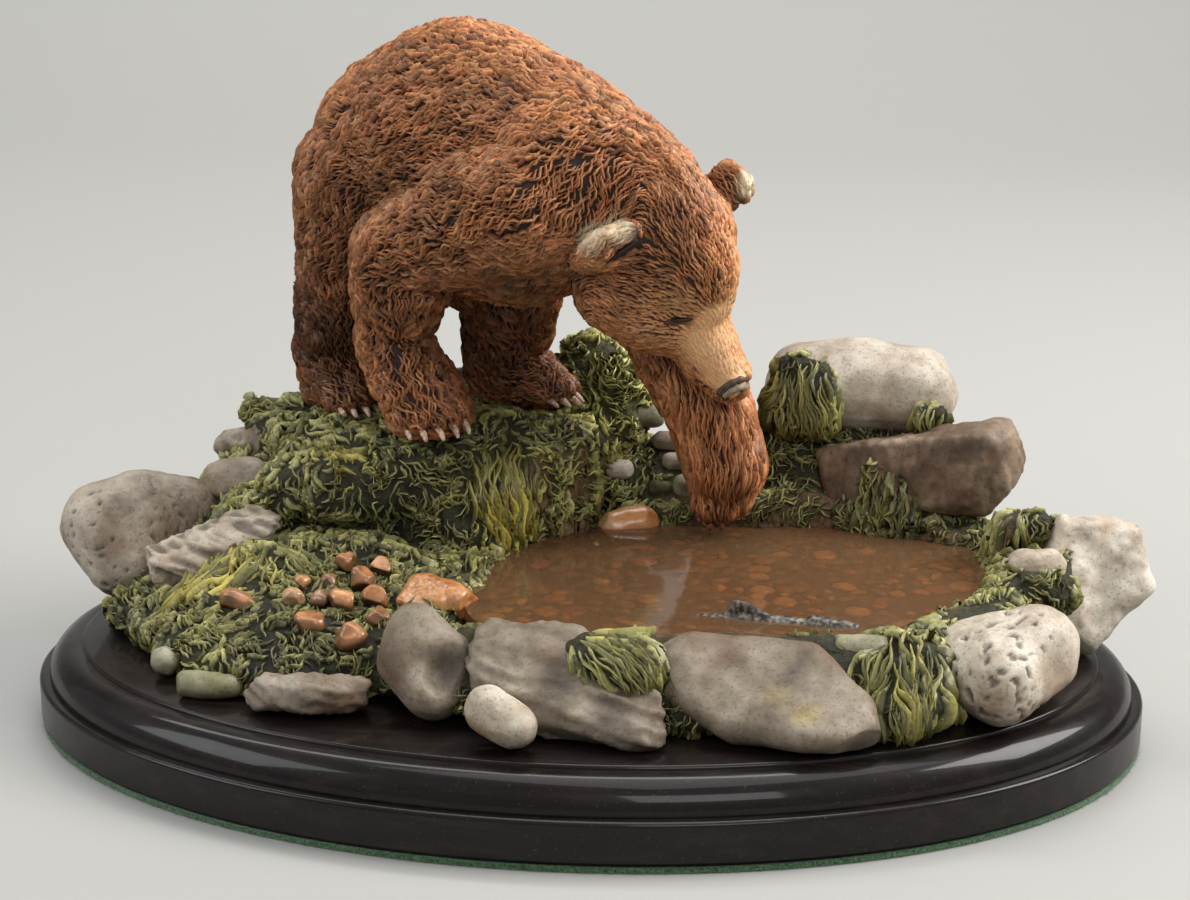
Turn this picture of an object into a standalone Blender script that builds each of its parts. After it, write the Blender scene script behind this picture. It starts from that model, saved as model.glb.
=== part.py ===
"""A grizzly bear dipping a forepaw in a rock pool, on an oval wooden plinth.

Metres, +Z up, +X to the right of the work and +Y away from its front.
The origin is at the centre of the felt's underside. The places of stones,
mounds and the bear's joints are given in millimetres, as x, y, z and the
radius of a ball there; a form is the hull around its balls.
"""
import math

import bmesh
import bpy
from mathutils import Matrix, Vector, noise

MM = 0.001
GAP = 0.0003

PLINTH_LENGTH = 0.300
PLINTH_DEPTH = 0.192
FELT_INSET = 0.0012
FELT_TOP = 0.0015
RIM_TOP = 0.0133
PLINTH_TOP = 0.0226
MOULDING_WIDTH = 0.0129
OVAL_STEPS = 52

GROUND_BOTTOM = PLINTH_TOP + GAP
POOL_FLOOR = 0.0350
WATER_LEVEL = 0.0420
POOL_CLEARANCE = 0.085

GROUND_VOXEL = 0.0019
GROUND_FACES = 3200
MOSS_LUMP = 0.0011
MOSS_LUMP_LENGTH = 0.0075
BARE_MARGIN = 2.2

BEAR_VOXEL = 0.0012
BEAR_FACES = 3900
LOCK_HEIGHT = 0.0010
LOCK_LENGTH = 0.0105
LOCK_WIDTH = 0.0062
FOOT_CALM = (0.074, 0.086)
FOOT_SEAT = 0.6

FISH_VOXEL = 0.0007
FISH_FACES = 150

# Outline of the water, clockwise from its left end.
POOL_OUTLINE = [
    (-27.6, -20), (-25, -7.5), (-25, 8), (-17, 22), (-6, 31), (8, 37), (22, 41),
    (38, 44), (54, 45), (66, 44), (77, 41), (90, 37), (104, 30), (110, 18),
    (111.7, 6), (104, -11.6), (93.4, -29), (79.6, -37.6), (58, -43), (35, -46),
    (14, -47), (0, -48), (-12, -45), (-21.6, -39),
]

# Rocks and stones: each one is the hull around its balls.
ROCKS = {
    "dented boulder": [(-37, -49, 41, 8), (-38, -54, 36, 8), (-31, -60, 31, 8), (-28, -54, 37, 7)],
    "long front rock": [(-22, -52, 41, 5), (-5, -54, 37, 5), (-20, -59, 36, 5), (5, -61, 32, 5),
                        (25, -73.5, 26.3, 3.4), (10, -66, 28, 5), (-8, -66, 30, 5), (0, -70, 26, 3)],
    "front egg": [(-15, -74, 32, 5.5), (-8, -77, 28.8, 6)],
    "broad front rock": [(28, -53, 37, 5.5), (64, -55, 36, 5), (77, -70, 27.6, 4.2), (74, -62, 31, 5),
                         (31, -57, 33, 6), (44, -66, 28, 5), (45, -54, 36, 6), (62, -72, 27.6, 4.2)],
    "pitted boulder": [(103, -38, 35, 11), (118, -35, 37.5, 11.5), (109, -47, 34, 11)],
    "right rock": [(131, 12, 57, 4), (145, 10, 54, 3.5), (148, 8, 41, 4), (134, 2, 27, 4),
                   (125, 0, 33, 6), (128, 15, 47, 6), (136, 20, 38, 6)],
    "right stone": [(118, 0, 47.5, 5.2), (123.5, 0, 47.5, 5.2)],
    "back slab": [(63, 50, 62, 2), (66, 47, 50, 2), (113, 46, 73, 2.5), (119, 41, 65, 2.5),
                  (108, 35, 51, 2), (105, 36, 71.5, 2), (112, 52, 56, 4), (70, 58, 58, 4)],
    "back boulder": [(57, 66, 78, 12.5), (88, 66, 77, 13), (72, 66, 79.5, 12.5)],
    "left boulder": [(-136, 11, 46, 12.5), (-128, 14, 48, 13), (-117, 24, 48, 9.5), (-129, 8, 38, 12.5)],
    "striped ledge": [(-118, -8, 43, 3.5), (-110, -12, 42, 4), (-88, 8, 53, 3), (-86, 0, 50, 4),
                      (-112, 2, 40, 5), (-105, -14, 36, 4)],
    "round stone": [(-106, 28, 55, 6), (-99, 29, 55, 6.5)],
    "bark ledge": [(-112, 52, 60, 3.5), (-100, 50, 63, 4), (-90, 50, 62, 4), (-104, 54, 56, 4)],
    "long grey stone": [(-74, -60, 28, 4.6), (-60, -61.5, 29, 5.4), (-48, -58, 27.5, 4.4)],
    "small pale stone": [(-96, -52, 26, 3.1), (-88, -53, 26.4, 3.5), (-84, -52.5, 25.9, 3)],
    "moss stone": [(-105.5, -40, 27, 4)],
    "pool pale stone": [(70, -46, 37, 4), (79, -47, 36, 4.5)],
    "bush stone": [(8, 70, 64, 5.5), (13, 70, 63, 5)],
    "stack top": [(16, 66, 60, 3.2), (22, 66, 60, 3.2)],
    "stack middle": [(18, 64, 54, 3.2), (23, 64, 54, 3.2)],
    "stack right": [(22, 60, 47, 4), (26, 59, 46, 3.5)],
    "stack left": [(13, 60, 47, 4), (16, 58, 46, 3)],
    "bank stone": [(3, 58, 54, 4.5), (7, 58, 54, 4)],
    "edge stone": [(4, 39, 41, 4.5), (12, 42, 42, 5)],
    "ankle stone": [(-44, 66, 75, 5), (-38, 68, 74, 4)],
    "orange slab": [(-40, -24, 44, 4), (-30, -29, 43, 4), (-26, -27, 40, 3), (-42, -30, 41, 4)],
}

# Glossy orange-brown pebbles left of the pool, as centre, radius and how far they reach along.
PEBBLES = [
    (-89.5, -28.4, 39.6, 3.9, 4.5), (-73.5, -28.6, 41, 3.3, 1.5), (-65.5, -29, 41.6, 3.0, 1.0),
    (-62, -14.6, 47, 3.3, 1.0), (-57, -22, 45, 3.6, 2.0), (-52.3, -17, 47.2, 3.0, 1.0),
    (-60.5, -30.5, 42, 3.6, 2.5), (-51.8, -29.5, 43, 3.4, 3.0), (-67.3, -37.3, 38.2, 3.8, 2.5),
    (-55.5, -43, 37, 4.2, 2.5), (-49.5, -36.5, 40, 3.2, 1.5), (-72, -22.6, 43.6, 2.3, 0.5),
    (-65.3, -22, 43.8, 2.5, 0.6),
]

# The moss-grown ground: banks, mounds and the slopes between them.
GROUND = {
    "pool bank left": [(-34, -30, 38, 5.4), (-34, 8, 39, 5), (-20, 38, 38, 6), (-40, -46, 28, 6),
                       (-60, -44, 28, 5), (-70, 10, 34, 8)],
    "pool bank front": [(-30, -50, 38, 4.6), (30, -52, 39, 4.2), (82, -45, 39, 4.2), (-30, -58, 27, 4),
                        (60, -62, 27, 4), (100, -44, 27, 4)],
    "pool bank right": [(90, -41, 39, 4.4), (111, -20, 39, 5), (119, 8, 39, 5), (116, 30, 38, 6),
                        (122, 6, 28, 5), (112, -30, 28, 5)],
    "pool bank back": [(10, 46, 40, 4), (50, 50, 40, 4), (84, 46, 40, 4), (112, 34, 40, 4),
                       (2, 66, 52, 8), (30, 66, 52, 7), (96, 58, 28, 5), (20, 66, 28, 5),
                       (10, 66, 44, 6), (92, 56, 46, 6)],
    "right slope": [(112, -20, 27, 4), (124, 20, 27, 4), (112, 40, 27, 4), (80, 60, 27, 4),
                    (90, -46, 27, 4)],
    "pool underside": [(-30, -40, 27, 4), (90, -40, 27, 4), (110, 20, 27, 4), (80, 56, 27, 4),
                       (-20, 66, 27, 4), (-60, 60, 27, 4)],
    "back bank": [(30, 60, 52, 6), (50, 62, 62, 7), (90, 62, 60, 7), (40, 70, 30, 6), (96, 62, 30, 6),
                  (58, 52, 50, 5)],
    "bear platform": [(-95, 47, 63, 7), (-78, 62, 63, 8), (-30, 68, 64, 7), (-2, 56, 63, 7),
                      (-48, 16, 63, 8), (-80, 36, 65, 7), (-100, 45, 30, 6), (-40, 74, 28, 5),
                      (-5, 64, 28, 6), (-45, 14, 34, 8)],
    "bear mound left": [(-84, 14, 57, 8), (-68, 8, 60, 8.5), (-50, 15, 61, 8), (-80, 30, 60, 8),
                        (-64, 10, 48, 6)],
    "bear mound front": [(-29, 34, 67, 8), (-11, 38, 63, 9), (-24, 26, 56, 9), (-9, 39, 52, 9),
                         (-36, 16, 52, 8), (-33, 14, 44, 7)],
    "left slope": [(-128, -3, 27, 4), (-97, -40, 27, 4), (-70, -52, 27, 4), (-58, -38, 33, 4),
                   (-78, -28, 34, 5), (-88, -10, 42, 6), (-108, 2, 38, 7), (-60, 0, 44, 6),
                   (-45, -8, 42, 5), (-40, -20, 38, 4)],
    "left back slope": [(-120, 20, 30, 8), (-104, 40, 40, 8), (-90, 56, 30, 6), (-88, 10, 46, 8),
                        (-104, 44, 56, 5)],
    "moss bush": [(-6, 70, 80, 10), (2, 68, 76, 10), (-10, 66, 69, 8), (4, 62, 66, 8)],
    "left moss cap": [(-101, 50, 68, 4), (-88, 50, 69, 4), (-92, 56, 66, 5)],
    "front tuft": [(10, -55, 41, 4), (24, -55, 40, 4), (22, -66, 31, 3.5), (28, -64, 33, 3.5),
                   (16, -62, 34, 4)],
    "right tuft": [(83, -46, 41, 4.5), (92, -46, 38, 4.5), (84, -60, 28, 4), (93, -56, 30, 4)],
    "corner tuft": [(108, 16, 51, 4.5), (121, 14, 54, 4.5), (118, 22, 46, 5)],
    "slab tuft": [(78, 41, 58, 4), (86, 39, 52, 4), (84, 44, 47, 4)],
    "boulder tuft": [(53, 58, 84, 4), (62, 56, 84, 4), (50, 55, 72, 4), (62, 52, 71, 4)],
    "right stone moss": [(112, -6, 43, 4.5), (126, -5, 43, 4.5), (127, 4, 46, 4), (114, 4, 46, 4)],
}

# The bear's joints.
SKULL = (20, 17, 129.5, 18)
MUZZLE_ROOT = (27, 18, 110.5, 9.6)
MUZZLE_MIDDLE = (30.8, 20, 101, 7.6)
HIND_HIP_RIGHT = (-64, 50, 137, 22)
FORE_SHOULDER_RIGHT = (-16, 7, 140, 16)
ELBOW_RIGHT = (-53, 22.5, 124, 11.5)
KNEE_LEFT = (-27, 57, 109, 13.5)
FORE_SHOULDER_LEFT = (6, 35, 130, 15)
ELBOW_LEFT = (17, 40, 101, 10)
WRIST_LEFT = (32, 36, 76, 10.4)

BEAR = {
    "trunk rear": [(-62, 63, 126, 25), (-53, 56, 145, 28.7), (-38, 46, 151.5, 30.8), (-44, 50, 134, 26)],
    "trunk front": [(-38, 46, 151.5, 30.8), (-18, 32, 146, 28.5), (-5, 20, 143, 25.5), (-20, 30, 134, 24),
                    (-44, 50, 134, 26)],
    "neck": [(-8, 21, 145, 25), (9, 15, 143.5, 17.5), SKULL],
    "skull": [SKULL, (9.5, 12, 118.5, 12.5), (24, 24, 118, 11)],
    "brow": [(27.5, 12, 124, 12), (30.2, 14, 115.5, 8.2), MUZZLE_ROOT],
    "jaw": [(9, 12, 117, 11.5), (14, 13, 112.5, 10.3), (24, 23, 112, 9), MUZZLE_ROOT, (27, 22, 103, 6.6)],
    "muzzle": [MUZZLE_ROOT, MUZZLE_MIDDLE, (36.6, 20.4, 92.5, 5.6), (30, 22, 95, 5)],
    "nose": [(39.6, 18.4, 91.2, 3.2), (36.4, 19.4, 89.6, 3.0), (38.4, 22, 89.5, 3.2)],
    "right ear": [(0.5, -2.5, 128.2, 2.8), (6, -6.5, 132, 3.8), (12.5, -5.5, 135.4, 2.8), (8, 4, 131, 5)],
    "left ear": [(30, 24, 139, 3.4), (36.5, 25, 145.6, 3.6), (39.6, 25, 142.4, 2.8), (34, 28, 141, 3)],
    "right thigh": [HIND_HIP_RIGHT, (-71, 49, 112, 14.5)],
    "right shank": [(-72, 49, 112, 14), (-78.6, 52, 90, 9.2)],
    "right hind foot": [(-79.6, 52, 88, 8.6), (-79.4, 51, 78.5, 7.6), (-71, 43, 77, 5.5)],
    "right upper arm": [FORE_SHOULDER_RIGHT, (-28, 14, 137, 15), ELBOW_RIGHT],
    "right shoulder": [FORE_SHOULDER_RIGHT, (-10, 16, 143, 22), (-30, 26, 140, 20)],
    "right forearm": [ELBOW_RIGHT, (-50.5, 22.5, 114.5, 10.2), (-56, 24.5, 101, 8.6)],
    "right fore paw": [(-56, 24.5, 98, 8.8), (-49, 21, 86.5, 9), (-42.5, 16, 80, 5.6),
                       (-49, 14.5, 80, 5.2), (-39, 20.5, 80, 5)],
    "left thigh": [(-44, 62, 128, 23), KNEE_LEFT],
    "left shank": [KNEE_LEFT, (-30, 63, 87, 10.6)],
    "left hind foot": [(-31, 63, 85, 9.4), (-35, 66, 77, 6.6), (-19, 54, 77.5, 5.2), (-15, 57, 77, 4.6)],
    "left upper arm": [FORE_SHOULDER_LEFT, ELBOW_LEFT],
    "left forearm": [ELBOW_LEFT, WRIST_LEFT],
    "left fore paw": [WRIST_LEFT, (36, 35.2, 62, 10.2), (37, 36, 52, 6)],
}

# Toes and claws of each foot: the toes' knuckles, then the way the claws point.
TOES = {
    "right hind": [[(-75, 38, 76), (-71.5, 37.5, 76), (-68, 39, 76), (-66, 42, 76)], (0.55, -0.75, -0.45)],
    "right fore": [[(-51, 11.5, 79), (-46.5, 10.5, 79), (-42, 12, 79), (-38.5, 15, 79), (-36, 19, 79)],
                   (0.55, -0.7, -0.75)],
    "left hind": [[(-17.5, 49.5, 77), (-14, 50, 77), (-11.5, 52.5, 77), (-11, 56, 77)], (0.8, -0.5, -0.45)],
    "left fore": [[(30, 33, 50.8), (34, 30.5, 50.3), (38.5, 30.5, 50.3), (42.5, 33, 50.8)],
                  (0.02, -0.12, -1.0)],
}
TOE_RADIUS = 2.6
TOE_MARGIN = 3.0
CLAW_LENGTH = 5.2
CLAW_RADIUS = 0.8

# Places on the muzzle, the eye and the ears that stay free of locks, with their reach.
CALM_SPOTS = [(34, 17, 96, 12), (38, 19, 90, 8), (30, 10, 112, 9), (7, -5, 132, 8), (36, 25, 143, 7)]

# The salmon lying in the water, head to the right, with its back proud.
FISH_BODY = [
    [(15, -29, 38.6, 1.2), (29, -29.5, 38.9, 2.2), (29, -29.5, 39.9, 2.0)],
    [(29, -29.5, 38.9, 2.2), (47, -31, 39.0, 3.0), (47, -31, 40.6, 2.6), (29, -29.5, 39.9, 2.0)],
    [(47, -31, 39.0, 3.0), (63, -33, 39.0, 2.8), (63, -33, 40.6, 2.4), (47, -31, 40.6, 2.6)],
    [(63, -33, 39.0, 2.8), (63, -33, 40.6, 2.4), (72, -34, 39.6, 1.4)],
    [(15, -29, 39, 0.8), (8, -27, 41.2, 0.7), (8, -29, 37.4, 0.7)],
    [(43, -30.6, 42, 0.7), (56, -32.5, 42, 0.7), (45.5, -30.8, 46.2, 0.6), (49, -31.2, 45.6, 0.6)],
]


def clear_scene():
    """Take out whatever objects the opened file holds."""
    for old in list(bpy.data.objects):
        bpy.data.objects.remove(old, do_unlink=True)


def new_collection(name):
    """Make a collection in the scene."""
    made = bpy.data.collections.new(name)
    bpy.context.scene.collection.children.link(made)
    return made


def new_material(name, colour, roughness, metallic=0.0, transmission=0.0):
    """Make a Principled material from its colour and roughness."""
    made = bpy.data.materials.new(name)
    made.use_nodes = True
    shader = made.node_tree.nodes["Principled BSDF"]
    shader.inputs["Base Color"].default_value = (*colour, 1.0)
    shader.inputs["Roughness"].default_value = roughness
    shader.inputs["Metallic"].default_value = metallic
    shader.inputs["Transmission Weight"].default_value = transmission
    made.diffuse_color = (*colour, 1.0)
    return made


def mesh_object(name, bm, collection, material=None):
    """Turn a bmesh into a named object."""
    bmesh.ops.recalc_face_normals(bm, faces=bm.faces[:])
    mesh = bpy.data.meshes.new(name)
    bm.to_mesh(mesh)
    bm.free()
    made = bpy.data.objects.new(name, mesh)
    collection.objects.link(made)
    if material:
        mesh.materials.append(material)
    return made


def apply_modifiers(thing):
    """Make the evaluated shape the object's own mesh."""
    bpy.context.view_layer.update()
    depsgraph = bpy.context.evaluated_depsgraph_get()
    shaped = bpy.data.meshes.new_from_object(thing.evaluated_get(depsgraph))
    thing.modifiers.clear()
    old = thing.data
    thing.data = shaped
    bpy.data.meshes.remove(old)


def add_hull(bm, balls, detail=2):
    """Add the hull around balls given in millimetres."""
    cloud = bmesh.new()
    for x, y, z, radius in balls:
        place = Matrix.Translation((x * MM, y * MM, z * MM))
        bmesh.ops.create_icosphere(cloud, subdivisions=detail, radius=radius * MM, matrix=place)
    points = [corner.co.copy() for corner in cloud.verts]
    cloud.free()
    corners = [bm.verts.new(point) for point in points]
    hull = bmesh.ops.convex_hull(bm, input=corners)
    loose = [item for item in hull["geom_interior"] if isinstance(item, bmesh.types.BMVert)]
    bmesh.ops.delete(bm, geom=loose, context="VERTS")


def remesh(thing, voxel):
    """Fuse everything in the mesh into one even skin."""
    fuse = thing.modifiers.new("fuse", "REMESH")
    fuse.mode = "VOXEL"
    fuse.voxel_size = voxel
    apply_modifiers(thing)


def smooth(thing, factor, rounds):
    """Soften the steps between fused forms."""
    soften = thing.modifiers.new("soften", "SMOOTH")
    soften.factor = factor
    soften.iterations = rounds
    apply_modifiers(thing)


def decimate(thing, faces):
    """Bring the mesh down to about this many triangles."""
    thing.data.calc_loop_triangles()
    ratio = faces / len(thing.data.loop_triangles)
    if ratio < 1:
        fewer = thing.modifiers.new("fewer", "DECIMATE")
        fewer.ratio = ratio
        apply_modifiers(thing)


def cut(thing, cutter, operation="DIFFERENCE"):
    """Cut one object with another, or join them."""
    joint = thing.modifiers.new("cut", "BOOLEAN")
    joint.operation = operation
    joint.solver = "EXACT"
    joint.object = cutter
    apply_modifiers(thing)
    cutter.hide_render = True
    cutter.display_type = "WIRE"
    cutter.hide_viewport = False


def keep_largest_body(thing):
    """Drop the crumbs that a cut leaves beside the main body."""
    bm = bmesh.new()
    bm.from_mesh(thing.data)
    bmesh.ops.triangulate(bm, faces=bm.faces[:])
    bmesh.ops.remove_doubles(bm, verts=bm.verts[:], dist=0.00001)
    bmesh.ops.dissolve_degenerate(bm, dist=0.00001, edges=bm.edges[:])
    bmesh.ops.triangulate(bm, faces=bm.faces[:])
    unseen = set(bm.faces)
    bodies = []
    while unseen:
        start = unseen.pop()
        body = [start]
        for face in body:
            for edge in face.edges:
                for other in edge.link_faces:
                    if other in unseen:
                        unseen.discard(other)
                        body.append(other)
        bodies.append(body)
    bodies.sort(key=len)
    for body in bodies[:-1]:
        bmesh.ops.delete(bm, geom=body, context="FACES")
    bm.to_mesh(thing.data)
    bm.free()


def grown_copy(thing, name, by, collection):
    """Copy a piece, swollen by a clearance."""
    bm = bmesh.new()
    bm.from_mesh(thing.data)
    bm.normal_update()
    moves = [(corner, corner.normal * by) for corner in bm.verts]
    for corner, move in moves:
        corner.co += move
    return mesh_object(name, bm, collection)


def grown_hull(name, balls, by, collection):
    """The hull around balls that are each swollen by a clearance in millimetres."""
    bm = bmesh.new()
    add_hull(bm, [(x, y, z, radius + by) for x, y, z, radius in balls])
    return mesh_object(name, bm, collection)


def oval_ring(bm, inset, height):
    """One ring of points around the oval, set in from its edge."""
    half_length = PLINTH_LENGTH / 2 - inset
    half_depth = PLINTH_DEPTH / 2 - inset
    ring = []
    for step in range(OVAL_STEPS):
        turn = 2 * math.pi * step / OVAL_STEPS
        ring.append(bm.verts.new((half_length * math.cos(turn), half_depth * math.sin(turn), height)))
    return ring


def oval_solid(name, profile, collection, material):
    """Loft an oval solid through rings of inset and height, bottom to top."""
    bm = bmesh.new()
    rings = [oval_ring(bm, inset, height) for inset, height in profile]
    for lower, upper in zip(rings, rings[1:]):
        for step in range(OVAL_STEPS):
            after = (step + 1) % OVAL_STEPS
            bm.faces.new((lower[step], lower[after], upper[after], upper[step]))
    bm.faces.new(rings[-1])
    bm.faces.new(list(reversed(rings[0])))
    return mesh_object(name, bm, collection, material)


def make_felt(collection):
    """The baize pad under the plinth."""
    felt = new_material("green baize", (0.04, 0.16, 0.07), 0.95)
    profile = [(FELT_INSET, 0.0), (FELT_INSET, FELT_TOP)]
    return oval_solid("felt_pad", profile, collection, felt)


def make_plinth(collection):
    """The turned oval plinth with its bead and ogee moulding."""
    wood = new_material("dark mahogany", (0.035, 0.018, 0.013), 0.32)
    rise = PLINTH_TOP - RIM_TOP
    profile = [
        (0.0, FELT_TOP + GAP),
        (0.0, RIM_TOP - 0.0012),
        (0.0010, RIM_TOP),
        (0.0022, RIM_TOP + 0.0002),
    ]
    bead_start = 0.0028
    bead_width = 0.0082
    for step in range(4):
        turn = math.pi / 2 * step / 3
        profile.append((bead_start + bead_width * (1 - math.cos(turn)), RIM_TOP + rise * 0.9 * math.sin(turn)))
    profile.append((MOULDING_WIDTH - 0.0008, RIM_TOP + rise * 0.92))
    profile.append((MOULDING_WIDTH, PLINTH_TOP))
    return oval_solid("plinth", profile, collection, wood)


def pool_prism(name, inset, bottom, top, collection, material=None):
    """A block with the water's outline, set in by a clearance."""
    corners = [Vector((x * MM, y * MM, 0)) for x, y in POOL_OUTLINE]
    count = len(corners)
    placed = []
    for index, corner in enumerate(corners):
        along = (corners[(index + 1) % count] - corners[index - 1]).normalized()
        inward = Vector((along.y, -along.x, 0))
        placed.append(corner + inward * inset)
    bm = bmesh.new()
    floor = bm.faces.new([bm.verts.new((point.x, point.y, bottom)) for point in placed])
    grown = bmesh.ops.extrude_face_region(bm, geom=[floor])
    lifted = [item for item in grown["geom"] if isinstance(item, bmesh.types.BMVert)]
    bmesh.ops.translate(bm, verts=lifted, vec=(0, 0, top - bottom))
    return mesh_object(name, bm, collection, material)


def level_block(name, top, collection):
    """A wide block that cuts off what hangs below the ground's underside."""
    bm = bmesh.new()
    bmesh.ops.create_cube(bm, size=1.0)
    bmesh.ops.scale(bm, vec=(0.4, 0.3, 0.06), verts=bm.verts[:])
    bmesh.ops.translate(bm, vec=(0, 0, top - 0.03), verts=bm.verts[:])
    return mesh_object(name, bm, collection)


def lumpy(thing, height, length, smooth_spots):
    """Raise tufts of moss all over, except on the bare stones."""
    mesh = thing.data
    spots = [corner.co.copy() for corner in mesh.vertices]
    normals = [corner.normal.copy() for corner in mesh.vertices]
    for corner, spot, normal in zip(mesh.vertices, spots, normals):
        if any((spot - centre).length < reach for centre, reach in smooth_spots):
            continue
        wave = noise.noise(spot / length)
        corner.co = spot + normal * (height * (2.8 * abs(wave) - 0.6))


def make_ground(collection, cutters):
    """The painted casting of ground, rocks and moss, with the pool's basin."""
    paint = new_material("painted resin ground", (0.25, 0.24, 0.16), 0.75)
    bm = bmesh.new()
    for balls in GROUND.values():
        add_hull(bm, balls)
    for balls in ROCKS.values():
        add_hull(bm, balls)
    for x, y, z, radius, reach in PEBBLES:
        add_hull(bm, [(x, y, z, radius), (x + reach, y - 1, z, radius * 0.8)])
    ground = mesh_object("rock_pool", bm, collection, paint)
    remesh(ground, GROUND_VOXEL)
    smooth(ground, 0.5, 2)
    bare = []
    for balls in ROCKS.values():
        for x, y, z, radius in balls:
            bare.append((Vector((x * MM, y * MM, z * MM)), (radius + BARE_MARGIN) * MM))
    lumpy(ground, MOSS_LUMP, MOSS_LUMP_LENGTH, bare)
    decimate(ground, GROUND_FACES)
    cut(ground, level_block("underside level", GROUND_BOTTOM, cutters))
    cut(ground, pool_prism("basin", 0.0, POOL_FLOOR, POOL_CLEARANCE, cutters))
    return ground


def fur_locks(thing, bare_spots):
    """Carve the coat's broad locks, running down and back along the body."""
    along = Vector((-0.45, 0.25, -0.85)).normalized()
    across = along.cross(Vector((0, 1, 0))).normalized()
    third = along.cross(across).normalized()
    mesh = thing.data
    spots = [corner.co.copy() for corner in mesh.vertices]
    normals = [corner.normal.copy() for corner in mesh.vertices]
    for corner, spot, normal in zip(mesh.vertices, spots, normals):
        if any((spot - centre).length < reach for centre, reach in bare_spots):
            continue
        cell = Vector((spot.dot(along) / LOCK_LENGTH, spot.dot(across) / LOCK_WIDTH,
                       spot.dot(third) / LOCK_WIDTH))
        wave = noise.noise(cell)
        low, high = FOOT_CALM
        calm = min(1.0, max(0.0, (spot.z - low) / (high - low)))
        corner.co = spot + normal * LOCK_HEIGHT * calm * (0.5 - 3.0 * abs(wave))


def make_bear(collection):
    """The bear, one casting with its carved coat, toes and claws."""
    coat = new_material("painted resin coat", (0.23, 0.075, 0.03), 0.6)
    bm = bmesh.new()
    for balls in BEAR.values():
        add_hull(bm, balls)
    for knuckles, way in TOES.values():
        for knuckle in knuckles:
            add_hull(bm, toe_balls(knuckle, way), detail=1)
            add_hull(bm, claw_balls(knuckle, way), detail=1)
    bear = mesh_object("bear", bm, collection, coat)
    remesh(bear, BEAR_VOXEL)
    smooth(bear, 0.5, 3)
    bare = [(Vector((x, y, z)) * MM, reach * MM) for x, y, z, reach in CALM_SPOTS]
    for knuckles, way in TOES.values():
        bare.extend((Vector(knuckle) * MM, (TOE_RADIUS + TOE_MARGIN) * MM) for knuckle in knuckles)
    fur_locks(bear, bare)
    decimate(bear, BEAR_FACES)
    keep_largest_body(bear)
    return bear


def claw_balls(knuckle, way):
    """The balls of one claw, at its root and its tip."""
    root = Vector(knuckle)
    tip = root + Vector(way).normalized() * (TOE_RADIUS + CLAW_LENGTH * 0.8)
    return [(*root, CLAW_RADIUS * 1.5), (*tip, CLAW_RADIUS)]


def toe_balls(knuckle, way):
    """The balls of one toe, at its knuckle and behind it."""
    root = Vector(knuckle)
    behind = root - Vector(way).normalized() * 3
    return [(*root, TOE_RADIUS), (*behind, TOE_RADIUS)]


def cut_foot_seat(ground, foot, cutters):
    """Let a foot stand in the moss with a small clearance round it."""
    name = foot + (" foot" if "hind" in foot else " paw")
    cut(ground, grown_hull(name + " seat", BEAR[name], FOOT_SEAT, cutters))
    knuckles, way = TOES[foot]
    balls = []
    for knuckle in knuckles:
        balls.extend(toe_balls(knuckle, way))
        balls.extend(claw_balls(knuckle, way))
    cut(ground, grown_hull(foot + " toe seat", balls, FOOT_SEAT, cutters))


def make_fish(collection):
    """The small cast salmon whose back and fin break the water."""
    skin = new_material("painted fish skin", (0.10, 0.11, 0.11), 0.35)
    bm = bmesh.new()
    for balls in FISH_BODY:
        add_hull(bm, balls)
    fish = mesh_object("fish", bm, collection, skin)
    remesh(fish, FISH_VOXEL)
    smooth(fish, 0.5, 2)
    decimate(fish, FISH_FACES)
    keep_largest_body(fish)
    return fish


def make_water(collection):
    """The clear brown resin that fills the basin."""
    resin = new_material("clear brown resin", (0.42, 0.25, 0.12), 0.06, transmission=0.9)
    return pool_prism("pool_water", GAP, POOL_FLOOR + GAP, WATER_LEVEL, collection, resin)


def main():
    """Build every piece and fit each to its neighbours."""
    clear_scene()
    pieces = new_collection("grizzly bear figurine")
    cutters = new_collection("cutters")
    make_felt(pieces)
    make_plinth(pieces)
    make_bear(pieces)
    fish = make_fish(pieces)
    ground = make_ground(pieces, cutters)
    for foot in ("right hind", "right fore", "left hind"):
        cut_foot_seat(ground, foot, cutters)
    keep_largest_body(ground)
    water = make_water(pieces)
    cut(water, grown_copy(fish, "fish slot", GAP * 1.2, cutters))
    keep_largest_body(water)


main()
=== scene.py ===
"""The grizzly bear figurine's fine surface: carved coat, moss, stones, pool and plinth.

Places are millimetres in tables and metres in meshes. A form is the hull
around its balls, given as x, y, z and radius, as in the solid model.
"""

import math
import random

import bmesh
import bpy
import numpy as np
from mathutils import Matrix, Vector, noise
from mathutils.bvhtree import BVHTree


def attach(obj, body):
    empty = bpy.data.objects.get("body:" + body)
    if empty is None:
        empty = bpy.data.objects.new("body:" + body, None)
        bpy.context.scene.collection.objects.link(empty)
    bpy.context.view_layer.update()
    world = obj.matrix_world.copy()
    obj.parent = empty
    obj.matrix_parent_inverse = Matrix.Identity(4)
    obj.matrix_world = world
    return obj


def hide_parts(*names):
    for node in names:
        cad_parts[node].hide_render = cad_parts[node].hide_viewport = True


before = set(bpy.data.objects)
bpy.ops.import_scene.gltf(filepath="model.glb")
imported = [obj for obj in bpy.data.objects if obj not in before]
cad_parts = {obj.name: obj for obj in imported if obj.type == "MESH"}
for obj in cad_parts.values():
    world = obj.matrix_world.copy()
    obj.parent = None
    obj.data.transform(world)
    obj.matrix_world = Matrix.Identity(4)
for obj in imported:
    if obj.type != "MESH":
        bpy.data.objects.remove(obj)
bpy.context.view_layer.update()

MM = 0.001

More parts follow.
